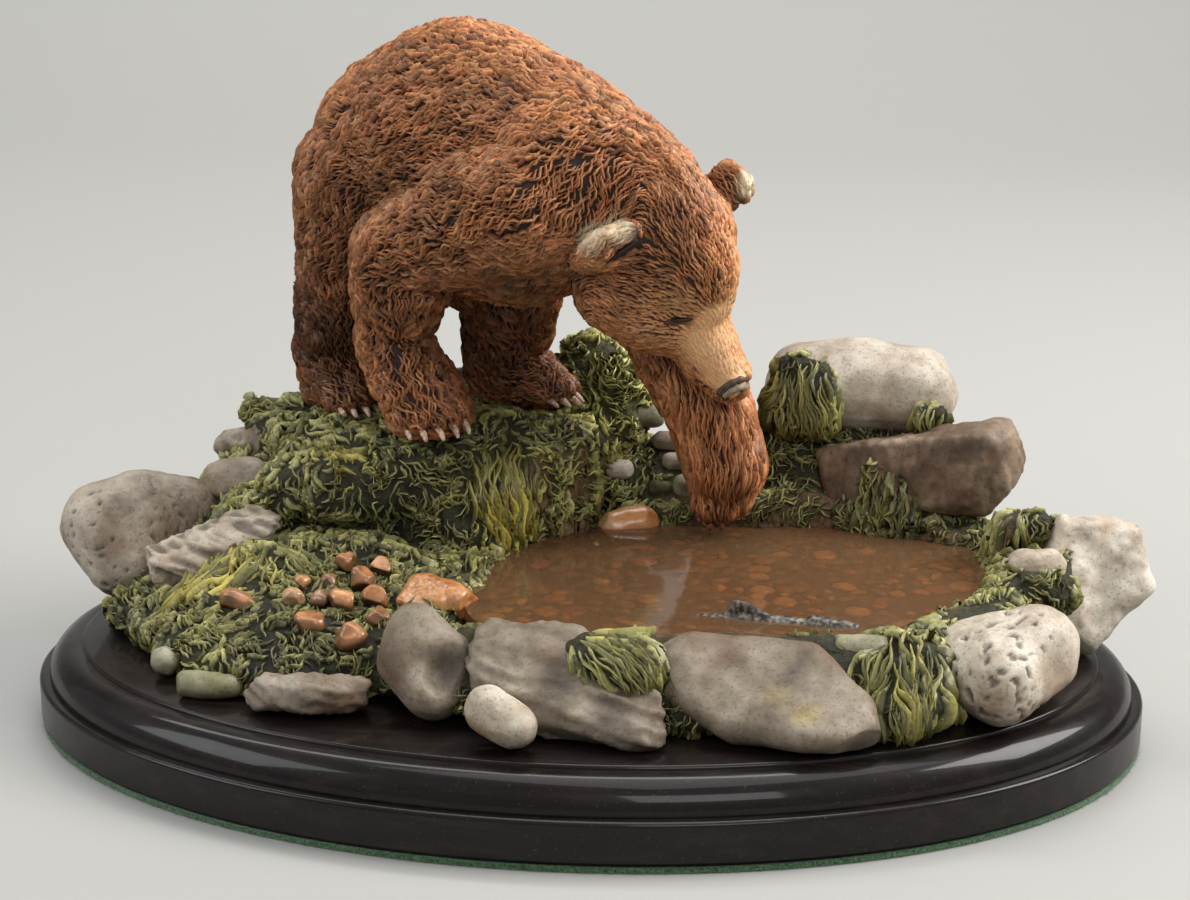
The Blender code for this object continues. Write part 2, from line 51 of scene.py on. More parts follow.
# The plinth, its mouldings and its baize, as in the solid model, in metres.
PLINTH_LENGTH = 0.300
PLINTH_DEPTH = 0.192
FELT_TOP = 0.0015
RIM_TOP = 0.0133
PLINTH_TOP = 0.0226
MOULDING_WIDTH = 0.0129
BEAD_INSET = 0.0028
BEAD_WIDTH = 0.0082
RIM_ROUND = 0.0011
TOP_ROUND = 0.0009
FUZZ_INSET = 0.0006
GAP = 0.0003
GROUND_BOTTOM = PLINTH_TOP + GAP

# The pool, in metres.
POOL_FLOOR = 0.0350
WATER_LEVEL = 0.0420
WATER_OVERLAP = 0.0022

# How far apart the strands stand, and how deep their edges sink, as a share of their height.
COAT_SPACING = 0.00118
HEAD_SPACING = 0.00090
MOSS_SPACING = 0.00140
TUFT_SPACING = 0.00135
STRAND_SINK = 0.1

# Strand sizes in metres: the least, and how much more the largest has.
LOCK_LENGTH = (0.0054, 0.0026)
LOCK_WIDTH = (0.00112, 0.00034)
LOCK_HEIGHT = (0.00130, 0.00085)
MOSS_LENGTH = (0.0050, 0.0045)
MOSS_WIDTH = (0.00078, 0.00030)
MOSS_HEIGHT = (0.00090, 0.00120)
TUFT_LENGTH = (0.010, 0.007)
TUFT_WIDTH = (0.0012, 0.0004)
TUFT_HEIGHT = (0.0014, 0.0012)
# Sideways swing of a strand, as a share of its way forward.
LOCK_SWAY = (0.65, 0.40)
MOSS_SWAY = (0.6, 0.7)
TUFT_SWAY = 0.4

# A stone's skin: cells along its longest side, and the limits of a cell in millimetres.
STONE_CELLS = 46
FINEST_STONE = 0.5
COARSEST_STONE = 0.9

# How finely the skins are meshed, in metres, and the share of faces kept on the largest two.
BALL_DETAIL = 3
CLAW_SIDES = 10
BEAR_VOXEL = 0.0011
GROUND_VOXEL = 0.0015
PEBBLE_VOXEL = 0.0005
FISH_VOXEL = 0.0005
NOSE_VOXEL = 0.00035
BEAR_KEPT = 0.58
GROUND_KEPT = 0.55

# Every how many points of the body its shade is measured.
SHADE_STEP = 6
BED_TRIES = 2600
FIBRES = 2200

CAMERA_PLACE = (0.07128, -0.60696, 0.26040)
CAMERA_AIM = (0.0032, 0.0, 0.076)
CAMERA_LENS = 72.6
SENSOR_WIDTH = 36.0

POOL_OUTLINE = [
    (-27.6, -20), (-25, -7.5), (-25, 8), (-17, 22), (-6, 31), (8, 37), (22, 41),
    (38, 44), (54, 45), (66, 44), (77, 41), (90, 37), (104, 30), (110, 18),
    (111.7, 6), (104, -11.6), (93.4, -29), (79.6, -37.6), (58, -43), (35, -46),
    (14, -47), (0, -48), (-12, -45), (-21.6, -39),
]

# Each stone: its balls, its kind of surface and its tint.
STONES = {
    "dented_boulder": ([(-37, -49, 41, 8), (-38, -54, 36, 8), (-31, -60, 31, 8), (-28, -54, 37, 7)],
                       "smooth", "tan"),
    "long_front_rock": ([(-22, -52, 41, 5), (-5, -54, 37, 5), (-20, -59, 36, 5), (5, -61, 32, 5),
                         (25, -73.5, 26.3, 3.4), (10, -66, 28, 5), (-8, -66, 30, 5), (0, -70, 26, 3),
                         (-20, -49.5, 41, 4.4), (4, -50.5, 40.8, 4.2), (31, -69, 29, 3.4),
                         (14, -68, 32, 3.4)],
                        "ridged", "tan"),
    "front_egg": ([(-15, -74, 32, 5.5), (-8, -77, 28.8, 6)], "smooth", "pale"),
    "broad_front_rock": ([(28, -53, 37, 5.5), (64, -55, 36, 5), (77, -70, 27.6, 4.2), (74, -62, 31, 5),
                         (31, -57, 33, 6), (44, -66, 28, 5), (45, -54, 36, 6), (62, -72, 27.6, 4.2),
                         (33, -50, 40, 4.4), (62, -51, 39.6, 4.2)], "smooth", "tan"),
    "pitted_boulder": ([(103, -38, 35, 11), (118, -35, 37.5, 11.5), (109, -47, 34, 11)],
                       "pitted", "pale"),
    "right_rock": ([(131, 12, 57, 4), (145, 10, 54, 3.5), (148, 8, 41, 4), (134, 2, 27, 4),
                    (125, 0, 33, 6), (128, 15, 47, 6), (136, 20, 38, 6)], "worn", "light"),
    "right_stone": ([(118, 0, 47.5, 5.2), (123.5, 0, 47.5, 5.2)], "smooth", "pale"),
    "back_slab": ([(63, 50, 62, 2), (66, 47, 50, 2), (113, 46, 73, 2.5), (119, 41, 65, 2.5),
                   (108, 35, 51, 2), (105, 36, 71.5, 2), (112, 52, 56, 4), (70, 58, 58, 4)],
                  "slab", "slate"),
    "back_boulder": ([(57, 66, 78, 12.5), (88, 66, 77, 13), (72, 66, 79.5, 12.5)], "speckled", "pale"),
    "left_boulder": ([(-136, 11, 46, 12.5), (-128, 14, 48, 13), (-117, 24, 48, 9.5),
                      (-129, 8, 38, 12.5)], "cracked", "grey"),
    "striped_ledge": ([(-118, -8, 43, 3.5), (-110, -12, 42, 4), (-88, 8, 53, 3), (-86, 0, 50, 4),
                       (-112, 2, 40, 5), (-105, -14, 36, 4)], "striped", "pale"),
    "round_stone": ([(-106, 28, 55, 6), (-99, 29, 55, 6.5)], "smooth", "grey"),
    "bark_ledge": ([(-112, 48, 60, 4), (-100, 44, 62, 4.8), (-88, 42, 60, 4.8), (-104, 52, 56, 4)],
                   "rough", "grey"),
    "long_grey_stone": ([(-74, -60, 28, 4.6), (-60, -61.5, 29, 5.4), (-48, -58, 27.5, 4.4)],
                        "ridged", "grey"),
    "small_pale_stone": ([(-96, -52, 26, 3.1), (-88, -53, 26.4, 3.5), (-84, -52.5, 25.9, 3)],
                         "smooth", "green"),
    "moss_stone": ([(-105.5, -40, 27, 4)], "smooth", "green"),
    "pool_pale_stone": ([(70, -46, 40.4, 3.6), (80, -46.5, 40.2, 4.2)], "smooth", "green"),
    "bush_stone": ([(8.6, 62.5, 68.6, 3.7), (14.2, 62.5, 68.4, 3.4)], "smooth", "green"),
    "stack_top": ([(15.2, 61.5, 61, 3.0), (20, 61.5, 61, 3.0)], "smooth", "grey"),
    "stack_middle": ([(19.0, 56.5, 56, 3.1), (22.4, 56.5, 56, 3.0)], "smooth", "pale"),
    "stack_right": ([(23.2, 50, 51, 3.2), (24, 50, 48.4, 3.0)], "smooth", "green"),
    "stack_left": ([(15.4, 49.5, 50.2, 2.6), (18, 49.5, 50, 2.5)], "smooth", "moss"),
    "bank_stone": ([(2.4, 53, 54.4, 2.9), (5.6, 53, 54.2, 2.7)], "smooth", "pale"),
    "edge_stone": ([(4, 39, 41, 4.5), (12, 42, 42, 5)], "smooth", "orange"),
    "ankle_stone": ([(-44, 66, 75, 5), (-38, 68, 74, 4)], "smooth", "green"),
    "orange_slab": ([(-40, -24, 44, 4), (-30, -29, 43, 4), (-26, -27, 40, 3), (-42, -30, 41, 4)],
                    "slab", "orange"),
}

PEBBLES = [
    (-89.5, -28.4, 39.6, 3.9, 4.5), (-73.5, -28.6, 41, 3.3, 1.5), (-65.5, -29, 41.6, 3.0, 1.0),
    (-62, -14.6, 47, 3.3, 1.0), (-57, -22, 45, 3.6, 2.0), (-52.3, -17, 47.2, 3.0, 1.0),
    (-60.5, -30.5, 42, 3.6, 2.5), (-51.8, -29.5, 43, 3.4, 3.0), (-67.3, -37.3, 38.2, 3.8, 2.5),
    (-55.5, -43, 37, 4.2, 2.5), (-49.5, -36.5, 40, 3.2, 1.5), (-72, -22.6, 43.6, 2.3, 0.5),
    (-65.3, -22, 43.8, 2.5, 0.6),
]

GROUND = {
    "pool bank left": [(-34, -30, 38, 5.4), (-34, 8, 39, 5), (-20, 38, 38, 6), (-40, -46, 28, 6),
                       (-60, -44, 28, 5), (-70, 10, 34, 8)],
    "pool bank front": [(-30, -50, 38, 4.6), (30, -52, 39, 4.2), (82, -45, 39, 4.2), (-30, -58, 27, 4),
                        (60, -62, 27, 4), (100, -44, 27, 4)],
    "pool bank right": [(90, -41, 39, 4.4), (111, -20, 39, 5), (119, 8, 39, 5), (116, 30, 38, 6),
                        (122, 6, 28, 5), (112, -30, 28, 5)],
    "pool bank back": [(10, 46, 40, 4), (50, 50, 40, 4), (84, 46, 40, 4), (112, 34, 40, 4),
                       (2, 66, 52, 8), (30, 66, 52, 7), (96, 58, 28, 5), (20, 66, 28, 5),
                       (10, 66, 44, 6), (92, 56, 46, 6)],
    "right slope": [(112, -20, 27, 4), (124, 20, 27, 4), (112, 40, 27, 4), (80, 60, 27, 4),
                    (90, -46, 27, 4)],
    "pool underside": [(-30, -40, 27, 4), (90, -40, 27, 4), (110, 20, 27, 4), (80, 56, 27, 4),
                       (-20, 66, 27, 4), (-60, 60, 27, 4)],
    "back bank": [(30, 60, 52, 6), (50, 62, 62, 7), (90, 62, 60, 7), (40, 70, 30, 6), (96, 62, 30, 6),
                  (58, 52, 50, 5)],
    "bear platform": [(-95, 47, 63, 7), (-78, 62, 63, 8), (-30, 68, 64, 7), (-2, 56, 63, 7),
                      (-48, 16, 63, 8), (-80, 36, 65, 7), (-100, 45, 30, 6), (-40, 74, 28, 5),
                      (-5, 64, 28, 6), (-45, 14, 34, 8)],
    "bear mound left": [(-84, 14, 57, 8), (-68, 8, 60, 8.5), (-50, 15, 61, 8), (-80, 30, 60, 8),
                        (-64, 10, 48, 6)],
    "bear mound front": [(-29, 34, 67, 8), (-11, 38, 63, 9), (-24, 26, 56, 9), (-9, 39, 52, 9),
                         (-36, 16, 52, 8), (-33, 14, 44, 7)],
    "left slope": [(-128, -3, 27, 4), (-97, -40, 27, 4), (-70, -52, 27, 4), (-58, -38, 33, 4),
                   (-78, -28, 34, 5), (-88, -10, 42, 6), (-108, 2, 38, 7), (-60, 0, 44, 6),
                   (-45, -8, 42, 5), (-40, -20, 38, 4)],
    "left back slope": [(-120, 20, 30, 8), (-104, 40, 40, 8), (-90, 56, 30, 6), (-88, 10, 46, 8),
                        (-104, 44, 56, 5)],
    "moss bush": [(-6, 70, 80, 10), (2, 68, 76, 10), (-10, 66, 69, 8), (4, 62, 66, 8)],
    "left moss cap": [(-101, 50, 68, 4), (-88, 50, 69, 4), (-92, 56, 66, 5)],
    "front tuft": [(6, -56, 41.5, 4), (20, -56, 41, 4), (11, -62, 37.5, 4), (22, -61.5, 37, 3.6)],
    "right tuft": [(83, -46, 41, 4.5), (92, -46, 38, 4.5), (84, -60, 28, 4), (93, -56, 30, 4)],
    "corner tuft": [(108, 16, 51, 4.5), (121, 14, 54, 4.5), (118, 22, 46, 5)],
    "slab tuft": [(78, 41, 58, 4), (86, 39, 52, 4), (84, 44, 47, 4)],
    "boulder tuft": [(53, 58, 84, 4), (62, 56, 84, 4), (50, 55, 72, 4), (62, 52, 71, 4)],
    "ledge tuft": [(91, 51, 73, 3.5), (95, 50, 74, 3)],
    "right stone moss": [(112, -6, 43, 4.5), (126, -5, 43, 4.5), (127, 4, 46, 4), (114, 4, 46, 4)],
}

# Where long moss strands hang combed together: centre and reach.
FRONT_TUFT = (14, -60, 38)
HANGING_TUFTS = [
    (FRONT_TUFT, 12), ((88, -52, 34), 14), ((82, 40, 53), 9), ((57, 55, 78), 11), ((115, 17, 50), 10),
    ((-95, -11, 45), 9), ((-86, -8, 48), 8), ((-25, 20, 62), 11), ((94, 49, 76), 5),
]

SKULL = (20, 17, 129.5, 18)
MUZZLE_ROOT = (26.6, 18, 110, 9.2)
MUZZLE_MIDDLE = (30.8, 20, 101, 7.6)
HIND_HIP_RIGHT = (-64, 50, 137, 22)
FORE_SHOULDER_RIGHT = (-16, 7, 140, 16)
ELBOW_RIGHT = (-53, 22.5, 124, 11.5)
KNEE_LEFT = (-27, 57, 109, 13.5)
FORE_SHOULDER_LEFT = (6, 35, 130, 15)
ELBOW_LEFT = (17, 40, 101, 10)
WRIST_LEFT = (32, 36, 76, 10.4)

BEAR = {
    "trunk rear": [(-62, 63, 126, 25), (-53, 56, 145, 28.7), (-38, 46, 151.5, 30.8), (-44, 50, 134, 26)],
    "trunk front": [(-38, 46, 151.5, 30.8), (-18, 32, 146, 28.5), (-5, 20, 143, 25.5), (-20, 30, 134, 24),
                    (-44, 50, 134, 26)],
    "neck": [(-8, 21, 145, 25), (9, 15, 143.5, 17.5), SKULL],
    "skull": [SKULL, (9.5, 12, 118.5, 12.5), (24, 24, 118, 11)],
    "brow": [(27.5, 12, 124, 12), (30.2, 14, 115.5, 8.2), MUZZLE_ROOT],
    "jaw": [(9, 12, 117, 11.5), (14, 13, 112.5, 10.3), (24, 23, 112, 9), MUZZLE_ROOT, (27, 22, 103, 6.6)],
    "muzzle": [MUZZLE_ROOT, MUZZLE_MIDDLE, (36.6, 20.4, 92.5, 5.6), (30, 22, 95, 5)],
    "right thigh": [HIND_HIP_RIGHT, (-71, 49, 112, 14.5)],
    "right shank": [(-72, 49, 112, 14), (-78.6, 52, 90, 9.2)],
    "right hind foot": [(-79.6, 52, 88, 8.6), (-79.4, 51, 78.5, 7.6), (-71, 43, 77, 5.5)],
    "right upper arm": [FORE_SHOULDER_RIGHT, (-28, 14, 137, 15), ELBOW_RIGHT],
    "right shoulder": [FORE_SHOULDER_RIGHT, (-10, 16, 143, 22), (-30, 26, 140, 20)],
    "right forearm": [ELBOW_RIGHT, (-50.5, 22.5, 114.5, 10.2), (-56, 24.5, 101, 8.6)],
    "right fore paw": [(-56, 24.5, 98, 8.8), (-49, 21, 86.5, 9), (-42.5, 16, 80, 5.6),
                       (-49, 14.5, 80, 5.2), (-39, 20.5, 80, 5)],
    "left thigh": [(-44, 62, 128, 23), KNEE_LEFT],
    "left shank": [KNEE_LEFT, (-30, 63, 87, 10.6)],
    "left hind foot": [(-31, 63, 85, 9.4), (-35, 66, 77, 6.6), (-19, 54, 77.5, 5.2), (-15, 57, 77, 4.6)],
    "left upper arm": [FORE_SHOULDER_LEFT, ELBOW_LEFT],
    "left forearm": [ELBOW_LEFT, WRIST_LEFT],
    "left fore paw": [WRIST_LEFT, (36, 35.2, 62, 10), (35.4, 36, 53, 5.4)],
    "nose": [(39.6, 18.4, 91.2, 3.2), (36.4, 19.4, 89.6, 3.0), (38.4, 22, 89.5, 3.2)],
    "right ear": [(0.5, -2.5, 128.2, 2.8), (6, -6.5, 132, 3.8), (12.5, -5.5, 135.4, 2.8), (8, 4, 131, 5)],
    "left ear": [(30, 24, 138.2, 3.4), (36.5, 25, 144.4, 3.6), (39.6, 25, 141.4, 2.8), (34, 28, 140.2, 3)],
}

TOES = {
    "right hind": [[(-75, 38, 76), (-71.5, 37.5, 76), (-68, 39, 76), (-66, 42, 76)], (0.55, -0.75, -0.45)],
    "right fore": [[(-51, 11.5, 79), (-46.5, 10.5, 79), (-42, 12, 79), (-38.5, 15, 79), (-36, 19, 79)],
                   (0.55, -0.7, -0.75)],
    "left hind": [[(-17.5, 49.5, 77), (-14, 50, 77), (-11.5, 52.5, 77), (-11, 56, 77)], (0.8, -0.5, -0.45)],
    "left fore": [[(30.2, 32.5, 51.5), (33.2, 30.5, 50.3), (36.4, 30.5, 50.6), (39.4, 32.5, 52.2)],
                  (-0.18, -0.12, -1.0)],
}
TOE_RADIUS = 2.6
CLAW_LENGTH = 5.2

# Painted light and shade on the coat and the moss, lighter where light falls and on shaded moss, darker in
# creases and on the shaded legs and belly: place, reach and how much.
COAT_LIGHT_AND_SHADE = [
    ((-8, 2, 150), 28, 0.32), ((36, 6, 130), 17, 0.55), ((36, 22, 80), 28, 0.45),
    ((33, 13, 104), 20, 0.50), ((8, 8, 152), 24, 0.30), ((-50, 19, 147), 14, -0.50),
    ((-36, 4, 144), 12, -0.35), ((33, 36, 66), 16, -0.20), ((-20, 12, 118), 28, -0.60),
    ((-74, 36, 138), 34, -0.40), ((-80, 48, 98), 34, -0.60), ((-54, 18, 108), 24, -0.35),
    ((-30, 56, 95), 26, -0.25), ((36, 30, 56), 9, -0.40), ((36, 14, 97), 12, 0.40),
]
MOSS_LIGHT_AND_SHADE = [
    ((2, 42, 55), 30, 1.20), ((0, 64, 76), 24, 2.90), (FRONT_TUFT, 16, 0.25),
    ((-118, -22, 30), 24, -0.40), ((-70, -40, 34), 30, -0.35), ((-20, 12, 60), 26, 0.30),
    ((-92, -14, 42), 24, 0.45),
]

# Where the paint changes: place, reach and strength.
MUZZLE_PATCHES = [((33, 11, 102), 12.5, 1), ((37, 14, 93.5), 10, 1), ((34, 9, 110), 9, 0.8)]
FACE_PATCHES = [((34, 10, 105), 22, 1), ((22, -1, 110), 17, 0.8), ((39, 12, 120), 14, 0.7)]
EAR_PATCHES = [((4, -6, 133.6), 6.2, 1), ((9.5, -6.5, 136.8), 5.6, 1), ((42, 23, 144), 5.6, 1)]
YELLOW_MOSS = [((-20, 12, 60), 24, 1), ((-97, -14, 42), 20, 0.9), ((88, -55, 34), 16, 0.5),
               ((-68, 12, 66), 14, 0.8)]

# The body's shaded sides and the shore that stays free of moss: place and reach.
BELLY_SHADE = ((-29, 60, 88), 34)
HIND_SHADE = ((-82, 50, 95), 34)
BARE_SHORE = ((103, -27, 42), 7)

# The bare front rim of the pool, in metres: its front, its height, its middle and its half length.
RIM_FRONT = -0.0435
RIM_HEIGHT = 0.037
RIM_MIDDLE = 0.027
RIM_HALF_LENGTH = 0.052

# Where the locks grow finer, in millimetres and then metres.
HEAD_MIDDLE = (27, 7, 117)
HEAD_REACH = 0.036
HEAD_BLEND = 0.008

# Which way the coat lies: a place on the bear and the direction the locks run.
COAT_FLOW = [
    ((-36, 46, 184), (-0.9, 0.4, -0.1)), ((-62, 60, 160), (-0.85, 0.3, -0.5)),
    ((-88, 66, 130), (-0.2, 0.3, -1.0)), ((-75, 35, 130), (-0.4, 0.0, -0.9)),
    ((-60, 28, 155), (-0.9, 0.1, -0.35)), ((-35, 10, 145), (-1.0, 0.2, -0.1)),
    ((-20, 5, 165), (-0.95, 0.2, -0.15)), ((-5, -6, 150), (-0.6, 0.1, -0.75)),
    ((-3, 2, 157), (-0.75, 0.1, -0.5)),
    ((-15, -8, 130), (-0.95, 0.0, -0.3)), ((-50, 12, 128), (-0.9, 0.1, -0.4)),
    ((-56, 15, 105), (0.0, 0.0, -1.0)), ((-48, 12, 86), (0.4, -0.4, -0.8)),
    ((5, 15, 163), (-0.85, 0.3, -0.1)), ((5, -5, 143), (-0.4, 0.0, -0.9)),
    ((25, 0, 140), (-0.5, 0.3, 0.8)), ((36, 10, 125), (-0.2, 0.1, 1.0)),
    ((12, -3, 118), (-0.9, 0.1, 0.45)), ((15, 5, 108), (-0.9, 0.2, 0.35)),
    ((34, 12, 100), (-0.3, 0.0, 0.95)), ((-25, 15, 115), (-0.9, 0.0, -0.3)),
    ((0, 15, 118), (-0.4, 0.0, -0.9)), ((-30, 48, 115), (0.05, 0.0, -1.0)),
    ((-29, 55, 95), (0.0, 0.0, -1.0)), ((-20, 52, 80), (0.8, -0.5, -0.2)),
    ((-80, 45, 95), (0.0, 0.0, -1.0)), ((-76, 42, 80), (0.4, -0.6, -0.3)),
    ((12, 38, 115), (0.3, 0.0, -0.9)), ((25, 30, 88), (0.25, 0.0, -0.95)),
    ((34, 26, 76), (0.05, 0.0, -1.0)), ((36, 28, 62), (0.0, -0.1, -1.0)), ((-30, 80, 140), (-0.7, 0.6, -0.4)),
    ((0, 55, 145), (-0.6, 0.5, -0.6)), ((-30, 70, 120), (-0.3, 0.2, -0.9)),
]

EYES = [
    ((25.4, 6.0, 110.3), (1, 0.08, 0.06), (3.1, 0.65, 0.7)),
    ((39.4, 22.0, 110.0), (0.3, 1, 0.1), (3.0, 0.8, 0.5)),
]
# A dark piece painted as the shade under the near ear: its place, direction and half sizes.
EAR_SHADE_PIECES = [
    ((11.8, -9.5, 131.4), (1, 0, 0.75), (4.8, 0.5, 0.7)),
]
NOSE_MIDDLE = (37.5, 17.5, 91)
NOSE_REACH = 0.0036
NOSE_SPOTS = ((36.6, 16, 89.4), (38.6, 15.5, 90.8), (40.8, 16.5, 91.4))
NOSE_CLEARANCE = 0.0020
NOSE_PAD = [
    [(35.2, 16.4, 88.2, 1.0), (36.7, 15.7, 90.1, 1.1), (38.3, 15.5, 91.5, 1.15)],
    [(38.3, 15.5, 91.5, 1.15), (40.4, 16.2, 92.1, 1.2), (41.8, 18.4, 91.9, 1.2)],
]
# A pale band under the nose pad, painted as its highlight: its balls.
NOSE_HIGHLIGHT_BAND = [
    [(36.5, 16.2, 87.6, 0.8), (38.2, 15.4, 89.2, 0.95), (40.4, 15.7, 90.2, 1.0)],
    [(40.4, 15.7, 90.2, 1.0), (42.0, 18.2, 89.8, 1.0)],
]

# The paints of each tint of stone: hollows, middle, crests and wash.
STONE_TINTS = {
    "grey": ((104, 91, 76), (150, 137, 121), (182, 171, 154), (122, 96, 72)),
    "pale": ((135, 121, 103), (181, 168, 150), (211, 202, 187), (155, 131, 105)),
    "green": ((106, 101, 75), (148, 143, 117), (177, 172, 150), (115, 114, 70)),
    "orange": ((173, 108, 57), (214, 152, 96), (233, 191, 144), (189, 102, 46)),
    "tan": ((86, 74, 60), (127, 114, 96), (158, 146, 129), (105, 83, 62)),
    "light": ((158, 145, 128), (201, 190, 173), (224, 216, 203), (175, 152, 128)),
    "slate": ((72, 57, 43), (107, 87, 68), (151, 131, 109), (103, 80, 59)),
    "moss": ((63, 61, 32), (88, 84, 46), (117, 112, 70), (81, 79, 39)),
}

# How many flats are cut on each kind of stone, and how deep, as a share of its size.
FLATS = {
    "smooth": (5, 0.07), "ridged": (9, 0.10), "pitted": (4, 0.05), "rough": (12, 0.12), "slab": (8, 0.10),
    "speckled": (3, 0.04), "cracked": (4, 0.05), "striped": (8, 0.12), "worn": (7, 0.08),
    "pebble": (10, 0.19),
}

# Dents pushed into a stone: place, reach and push.
DENTS = {
    "dented_boulder": [((-27, -64, 37), 9.5, (-1.2, 4.4, -0.6))],
    "long_front_rock": [((1, -70, 37), 10, (0.0, 2.6, 0.0)), ((13, -75, 32.5), 9, (0.0, 2.2, 0.0))],
}

# Painted shade in a stone's hollows: place, reach and strength.
PAINTED_HOLLOW_SHADE = {
    "dented_boulder": [((-28, -58, 35), 12, 0.85)],
    "long_front_rock": [((2, -65, 36), 13, 0.75), ((16, -71, 31), 11, 0.75)],
}

# Stains on a stone, and painted light on the back slab's right end: where they lie, and how they change red,
# green and blue.
STAINS_AND_PAINTED_LIGHT = {
    "broad_front_rock": [([((55, -67, 37), 6, 1), ((62, -71, 33), 6, 1)], (0.16, 0.12, -0.38))],
    "back_slab": [([((116, 46, 68), 10, 1)], (0.7, 0.7, 0.7)),
                  ([((108, 38, 67), 4.5, 1)], (0.5, -0.15, -0.6))],
}

FISH_BODY = [
    [(15, -29, 38.6, 1.2), (29, -29.5, 38.9, 2.2), (29, -29.5, 39.9, 2.0)],
    [(29, -29.5, 38.9, 2.2), (47, -31, 39.0, 3.0), (47, -31, 40.6, 2.6), (29, -29.5, 39.9, 2.0)],
    [(47, -31, 39.0, 3.0), (63, -33, 39.0, 2.8), (63, -33, 40.6, 2.4), (47, -31, 40.6, 2.6)],
    [(63, -33, 39.0, 2.8), (63, -33, 41.5, 2.6), (73, -34, 41.1, 1.8), (72, -34, 39.4, 1.4)],
    [(15, -29, 39, 0.8), (8, -27, 41.2, 0.7), (8, -29, 37.4, 0.7)],
    [(40, -30.6, 42, 0.7), (53, -32.5, 42, 0.7), (42.5, -30.8, 46.2, 0.6), (46, -31.2, 45.6, 0.6)],
]


def paint(red, green, blue):
    """A linear colour from the 0 to 255 values that the eye sees."""
    values = np.array([red, green, blue]) / 255.0
    linear = np.where(values <= 0.04045, values / 12.92, ((values + 0.055) / 1.055) ** 2.4)
    return tuple(float(value) for value in linear)


def link(thing):
    """Put an object in the scene."""
    bpy.context.scene.collection.objects.link(thing)
    return thing


def mesh_object(name, bm, material, smooth=True):
    """Turn a bmesh into a named object."""
    bmesh.ops.recalc_face_normals(bm, faces=bm.faces[:])
    mesh = bpy.data.meshes.new(name)
    bm.to_mesh(mesh)
    bm.free()
    if smooth:
        mesh.shade_smooth()
    mesh.materials.append(material)
    return link(bpy.data.objects.new(name, mesh))


def array_mesh(name, points, quads, material, colours):
    """Make an object from arrays of points and quads, and a colour for each point."""
    mesh = bpy.data.meshes.new(name)
    mesh.vertices.add(len(points))
    mesh.vertices.foreach_set("co", np.ascontiguousarray(points, dtype=np.float32).ravel())
    mesh.loops.add(quads.size)
    mesh.loops.foreach_set("vertex_index", np.ascontiguousarray(quads, dtype=np.int32).ravel())
    mesh.polygons.add(len(quads))
    mesh.polygons.foreach_set("loop_start", np.arange(0, quads.size, 4, dtype=np.int32))
    mesh.update(calc_edges=True)
    mesh.validate()
    mesh.shade_smooth()
    set_colours(mesh, colours)
    mesh.materials.append(material)
    return link(bpy.data.objects.new(name, mesh))


def set_colours(mesh, colours):
    """Store a painted colour on every point."""
    layer = mesh.color_attributes.new(name="paint", type="FLOAT_COLOR", domain="POINT")
    full = np.ones((len(mesh.vertices), 4), dtype=np.float32)
    full[:, :3] = colours
    layer.data.foreach_set("color", full.ravel())


def triples(items, field):
    """A field of three numbers of each item, as an array."""
    flat = np.empty(len(items) * 3, dtype=np.float32)
    items.foreach_get(field, flat)
    return flat.reshape(-1, 3).astype(np.float64)


def points_of(mesh):
    """The mesh's points as an array."""
    return triples(mesh.vertices, "co")


def normals_of(mesh):
    """The normals of the mesh's points as an array."""
    return triples(mesh.vertex_normals, "vector")


def set_points(mesh, points):
    """Move the mesh's points."""
    mesh.vertices.foreach_set("co", np.ascontiguousarray(points, dtype=np.float32).ravel())
    mesh.update()


def add_hull(bm, balls):
    """Add the hull around balls given in millimetres."""
    cloud = bmesh.new()
    for x, y, z, radius in balls:
        place = Matrix.Translation((x * MM, y * MM, z * MM))
        bmesh.ops.create_icosphere(cloud, subdivisions=BALL_DETAIL, radius=radius * MM, matrix=place)
    places = [corner.co.copy() for corner in cloud.verts]
    cloud.free()
    corners = [bm.verts.new(place) for place in places]
    hull = bmesh.ops.convex_hull(bm, input=corners)
    loose = [item for item in hull["geom_interior"] if isinstance(item, bmesh.types.BMVert)]
    bmesh.ops.delete(bm, geom=loose, context="VERTS")


def apply_modifiers(thing):
    """Make the evaluated shape the object's own mesh."""
    bpy.context.view_layer.update()
    depsgraph = bpy.context.evaluated_depsgraph_get()
    shaped = bpy.data.meshes.new_from_object(thing.evaluated_get(depsgraph))
    thing.modifiers.clear()
    old = thing.data
    thing.data = shaped
    bpy.data.meshes.remove(old)


def fused(name, groups, voxel, rounds, material):
    """One even skin over several hulls."""
    bm = bmesh.new()
    for balls in groups:
        add_hull(bm, balls)
    thing = mesh_object(name, bm, material)
    fuse = thing.modifiers.new("fuse", "REMESH")
    fuse.mode = "VOXEL"
    fuse.voxel_size = voxel
    fuse.use_smooth_shade = True
    soften = thing.modifiers.new("soften", "SMOOTH")
    soften.factor = 0.5
    soften.iterations = rounds
    apply_modifiers(thing)
    thing.data.shade_smooth()
    return thing


def thinned(thing, ratio):
    """Keep a share of the faces and the same shape."""
    fewer = thing.modifiers.new("fewer", "DECIMATE")
    fewer.ratio = ratio
    apply_modifiers(thing)


def noise_at(points, length, seed=0.0):
    """Smooth noise from about -1 to 1 at each point, with bumps of a length in metres."""
    scaled = points / length + seed * 17.3
    return np.array([noise.noise(Vector(spot)) for spot in scaled]) * 1.6


